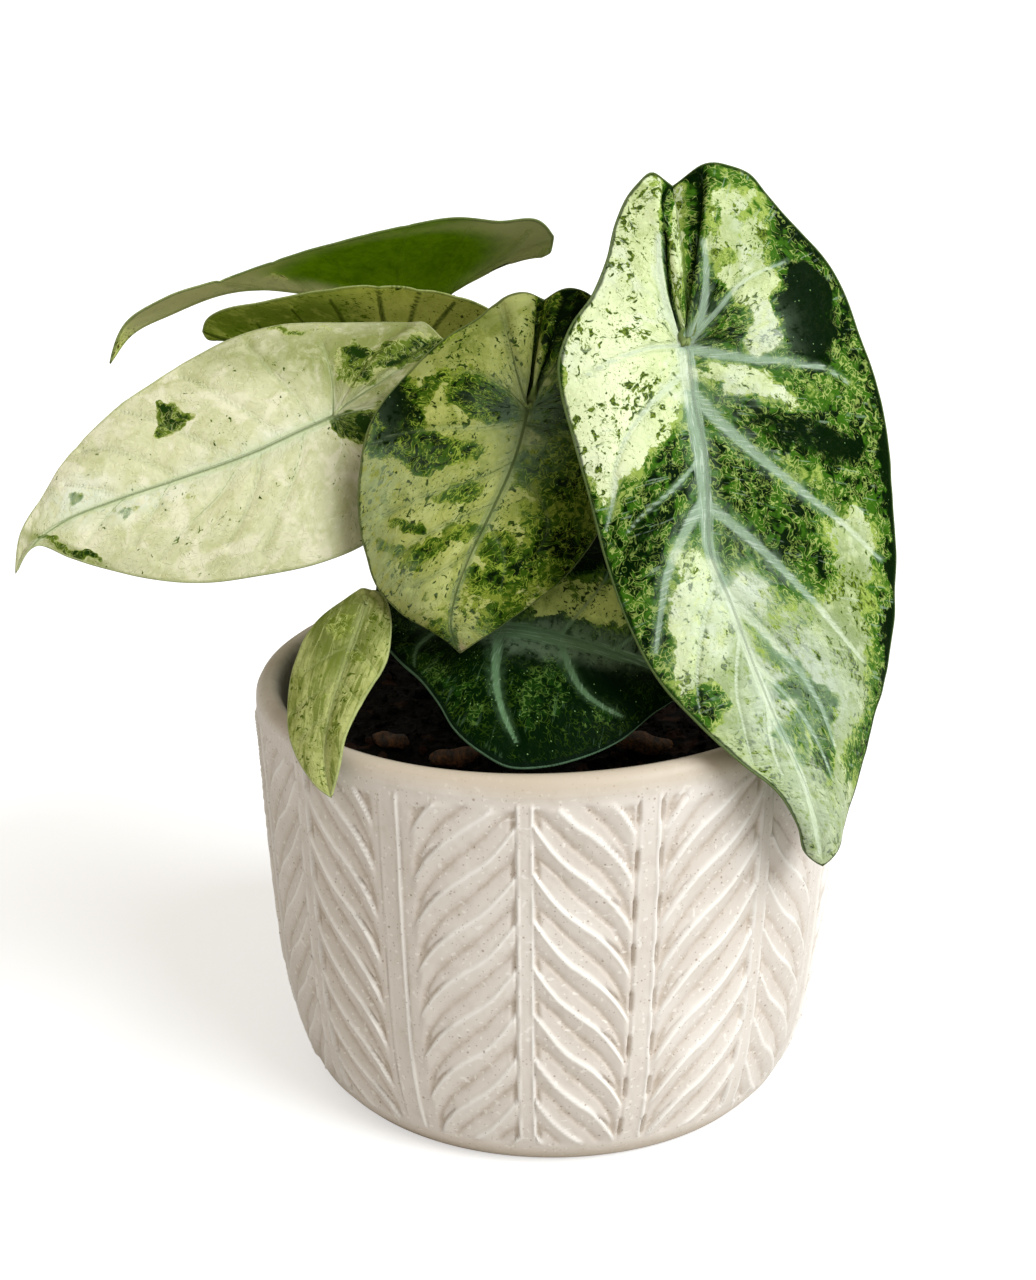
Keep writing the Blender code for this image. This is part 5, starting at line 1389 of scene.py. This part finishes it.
LOOK['leaf_large_right'].update(palette=[(206, 217, 162), (144, 165, 74), (54, 96, 16), (3, 22, 1)], margin=0.85, band=1.0, cloud=0.42, milk=(218, 226, 196), fibre=0.7, tone_down=(128, 146, 88), tone_up=(232, 240, 196), film=(196, 206, 190), mottle=1.9, grain=3.3, speck_color=(44, 66, 6), speck_light=(104, 124, 34), speck_scale=0.66, speck_twist=0.85, cluster=0.70, thread=0.40,
    under=[(120, 138, 78), (92, 114, 52), (150, 164, 104), (150, 164, 104)], vein_cream=(196, 208, 176), vein_green=(150, 172, 146))
# the centre blade's palette is kept darker partly as painted shade from the large blade above it, and partly for its
# own olive colour
LOOK['leaf_centre'].update(palette=[(156, 160, 86), (110, 122, 40), (46, 72, 6), (4, 18, 1)], vein_strength=0.50, milk=(174, 178, 112), fibre=0.7, tone_down=(92, 104, 34), tone_up=(176, 148, 116), fibre_color=(160, 178, 66), margin=0.7, band=0.7, edge=(120, 134, 80),
    vein_cream=(112, 126, 84), vein_green=(78, 96, 62), under=[(96, 112, 56), (76, 94, 40), (124, 138, 80), (120, 132, 76)], side_strength=0.35,
    core=0.65, core_color=(66, 80, 36), haze=0.26, thread=0.14, strand=0.16, cloud=0.65, film=(150, 164, 124), speck_color=(20, 34, 4), strand_color=(160, 172, 130))
LOOK['leaf_left'].update(palette=[(193, 192, 152), (164, 166, 106), (88, 106, 30), (24, 46, 6)], margin=0.30, band=0.6, margin_color=(120, 130, 70),
    edge=(176, 182, 130), vein_strength=0.55, vein_cream=(170, 182, 136), vein_green=(90, 106, 60), flank=0.05, side_strength=0.32, core=0.85,
    core_color=(124, 136, 92), tone_down=(122, 130, 62), tone_up=(222, 216, 186), milk=(216, 211, 182), haze=0.12, thread=0.10, strand=0.12, cloud=0.50, fibre=0.5,
    under=[(176, 182, 130), (158, 168, 108), (190, 196, 146), (190, 196, 146)])
LOOK['leaf_low_centre'].update(palette=[(186, 198, 108), (84, 114, 26), (20, 50, 6), (3, 22, 2)], margin=0.9, band=1.6, edge=(96, 126, 96), edge_strength=0.7,
    margin_color=(6, 22, 8), vein_green=(98, 130, 92), vein_cream=(140, 158, 104), under=[(70, 96, 50), (50, 78, 34), (100, 124, 76), (96, 118, 70)],
    haze=0.26, floor=-2.1, grain=2.9, mottle=2.8, fibre=0.42, fibre_color=(130, 160, 84), film=(140, 158, 124), strand_color=(150, 172, 148))
LOOK['leaf_small_left'].update(palette=[(166, 170, 104), (130, 138, 62), (88, 102, 30), (46, 62, 12)], streaks=(0.26, 1.7, 0.80), tone_down=(96, 106, 44), margin=0.25, band=0.6, margin_color=(92, 106, 44),
    edge=(176, 184, 124), vein_strength=0.3, strand=0.1, strand_color=(188, 194, 136), vein_cream=(180, 188, 126), vein_green=(150, 160, 96), speck_color=(66, 84, 18), flank=0.05, side_strength=0.4, haze=0.10, thread=0.0, cloud=0.75,
    under=[(150, 160, 96), (132, 144, 78), (168, 176, 116), (168, 176, 116)])
LOOK['leaf_top_back'].update(palette=[(196, 200, 120), (130, 162, 18), (106, 142, 6), (76, 112, 0)], margin=0.45, band=0.8, margin_color=(40, 58, 12), edge=(120, 136, 76),
    vein_strength=0.35, vein_green=(92, 116, 20), vein_cream=(92, 116, 20), side_strength=0.7, core=0.0, haze=0.05, thread=0.0, strand=0.1, strand_color=(130, 150, 70), fibre=0.06, flank=0.3,
    tone_up=(190, 190, 134), tone_down=(60, 88, 2), speck_color=(70, 50, 22), speck_light=(104, 84, 40), speck_scale=0.7, top=[(196, 202, 140), (104, 132, 52), (46, 84, 20), (12, 34, 8)], gloss=0.0, rough=0.30, grain=0.8, dots=0.0,
    under=[(70, 98, 14), (50, 74, 8), (98, 120, 50), (104, 122, 66)])
LOOK['leaf_second_back'].update(palette=[(184, 190, 88), (160, 168, 62), (98, 120, 14), (40, 66, 8)], margin=0.35, band=0.7, margin_color=(72, 88, 20), edge=(130, 142, 80),
    vein_strength=0.75, vein_green=(58, 74, 10), vein_cream=(62, 78, 12), side_strength=1.0, core=0.75, core_color=(56, 70, 14), haze=0.0, thread=0.0, strand=0.0, gap=0.0, top=[(200, 204, 146), (150, 164, 78), (82, 112, 30), (30, 56, 12)],
    fibre=0.10, flank=0.0, cloud=0.3, tone_up=(180, 184, 116), tone_down=(88, 112, 14), gloss=0.0, rough=0.34, grain=0.8, dots=0.0,
    under=[(176, 186, 82), (150, 162, 58), (198, 204, 122), (190, 198, 120)])
SLOTS = {'leaf_large_right': 'leaf_mixed', 'leaf_centre': 'leaf_mixed', 'leaf_left': 'leaf_cream', 'leaf_top_back': 'leaf_green',
         'leaf_second_back': 'leaf_mixed', 'leaf_low_centre': 'leaf_green', 'leaf_small_left': 'leaf_cream'}
for i, name in enumerate(LEAVES):
    ob = build_blade(name)
    give(ob, leaf_material('blade_' + name[5:], LOOK[name], i + 1))
    place(ob, SLOTS[name], name)
sm2 = stalk_material('green')
for name in STEMS:
    ob = build_stalk(name)
    give(ob, sm2)
    place(ob, 'stalk', name)

# =====================================================================
# Stage, light, camera
# =====================================================================
scene = bpy.context.scene
me = bpy.data.meshes.new('floor')
me.from_pydata([(-6, -3, 0), (6, -3, 0), (6, 9, 0), (-6, 9, 0)], [], [(0, 1, 2, 3)])
floor = bpy.data.objects.new('floor', me)
scene.collection.objects.link(floor)
fl = Graph('floor_white')
fl.bsdf.inputs['Base Color'].default_value = (0.66, 0.655, 0.64, 1)
fl.bsdf.inputs['Roughness'].default_value = 0.9
fl.bsdf.inputs['Specular IOR Level'].default_value = 0.0
fl.bsdf.inputs['Emission Color'].default_value = (1, 1, 1, 1)
lp = fl.t.nodes.new('ShaderNodeLightPath')
fl.put(fl.bsdf.inputs['Emission Strength'], fl.mul(lp.outputs['Is Camera Ray'], 0.54))
floor.data.materials.append(fl.mat)

world = bpy.data.worlds.new('studio')
scene.world = world
world.use_nodes = True
wt = world.node_tree
bg = next(n for n in wt.nodes if n.type == 'BACKGROUND')
bg.inputs[0].default_value = (1.0, 0.915, 0.80, 1)
bg.inputs[1].default_value = 0.465
white = wt.nodes.new('ShaderNodeBackground')
white.inputs[1].default_value = 1.0
white.inputs[0].default_value = (1, 1, 1, 1)
lpw = wt.nodes.new('ShaderNodeLightPath')
mixw = wt.nodes.new('ShaderNodeMixShader')
outw = next(n for n in wt.nodes if n.type == 'OUTPUT_WORLD')
wt.links.new(lpw.outputs['Is Camera Ray'], mixw.inputs[0])
wt.links.new(bg.outputs[0], mixw.inputs[1])
wt.links.new(white.outputs[0], mixw.inputs[2])
wt.links.new(mixw.outputs[0], outw.inputs[0])

def area(name, at, aim, size, watts, color=(1, 1, 1)):
    d = bpy.data.lights.new(name, 'AREA')
    d.shape = 'DISK'
    d.size = size
    d.energy = watts
    d.color = color
    ob = bpy.data.objects.new(name, d)
    ob.location = at
    ob.rotation_euler = (Vector(aim) - Vector(at)).to_track_quat('-Z', 'Y').to_euler()
    scene.collection.objects.link(ob)
    return ob

def sun(name, azimuth, height, angle, watts, color=(1, 1, 1)):
    d = bpy.data.lights.new(name, 'SUN')
    d.angle = math.radians(angle)
    d.energy = watts
    d.color = color
    ob = bpy.data.objects.new(name, d)
    a, h = math.radians(azimuth), math.radians(height)
    ob.rotation_euler = Vector((math.sin(a) * math.cos(h), -math.cos(a) * math.cos(h), math.sin(h))).to_track_quat('Z', 'Y').to_euler()
    scene.collection.objects.link(ob)
    return ob

sun('key', 52.0, 42.0, 40.0, 3.25, (0.93, 0.99, 1.06))
sun('front', 6.0, 60.0, 70.0, 0.20, (0.98, 0.985, 0.99))

cam_data = bpy.data.cameras.new('camera')
cam = bpy.data.objects.new('camera', cam_data)
scene.collection.objects.link(cam)
cam.location = SIGHT
cam.rotation_euler = (math.pi / 2 - SIGHT_TILT, 0, 0)
cam_data.sensor_fit = 'VERTICAL'
cam_data.sensor_height = 36.0
cam_data.lens = SHEET_F / 1280.0 * 36.0
cam_data.clip_start = 0.01
cam_data.clip_end = 50.0
scene.camera = cam
scene.view_settings.view_transform = 'Standard'
scene.view_settings.look = 'None'
scene.view_settings.exposure = 0.0
scene.view_settings.gamma = 1.0

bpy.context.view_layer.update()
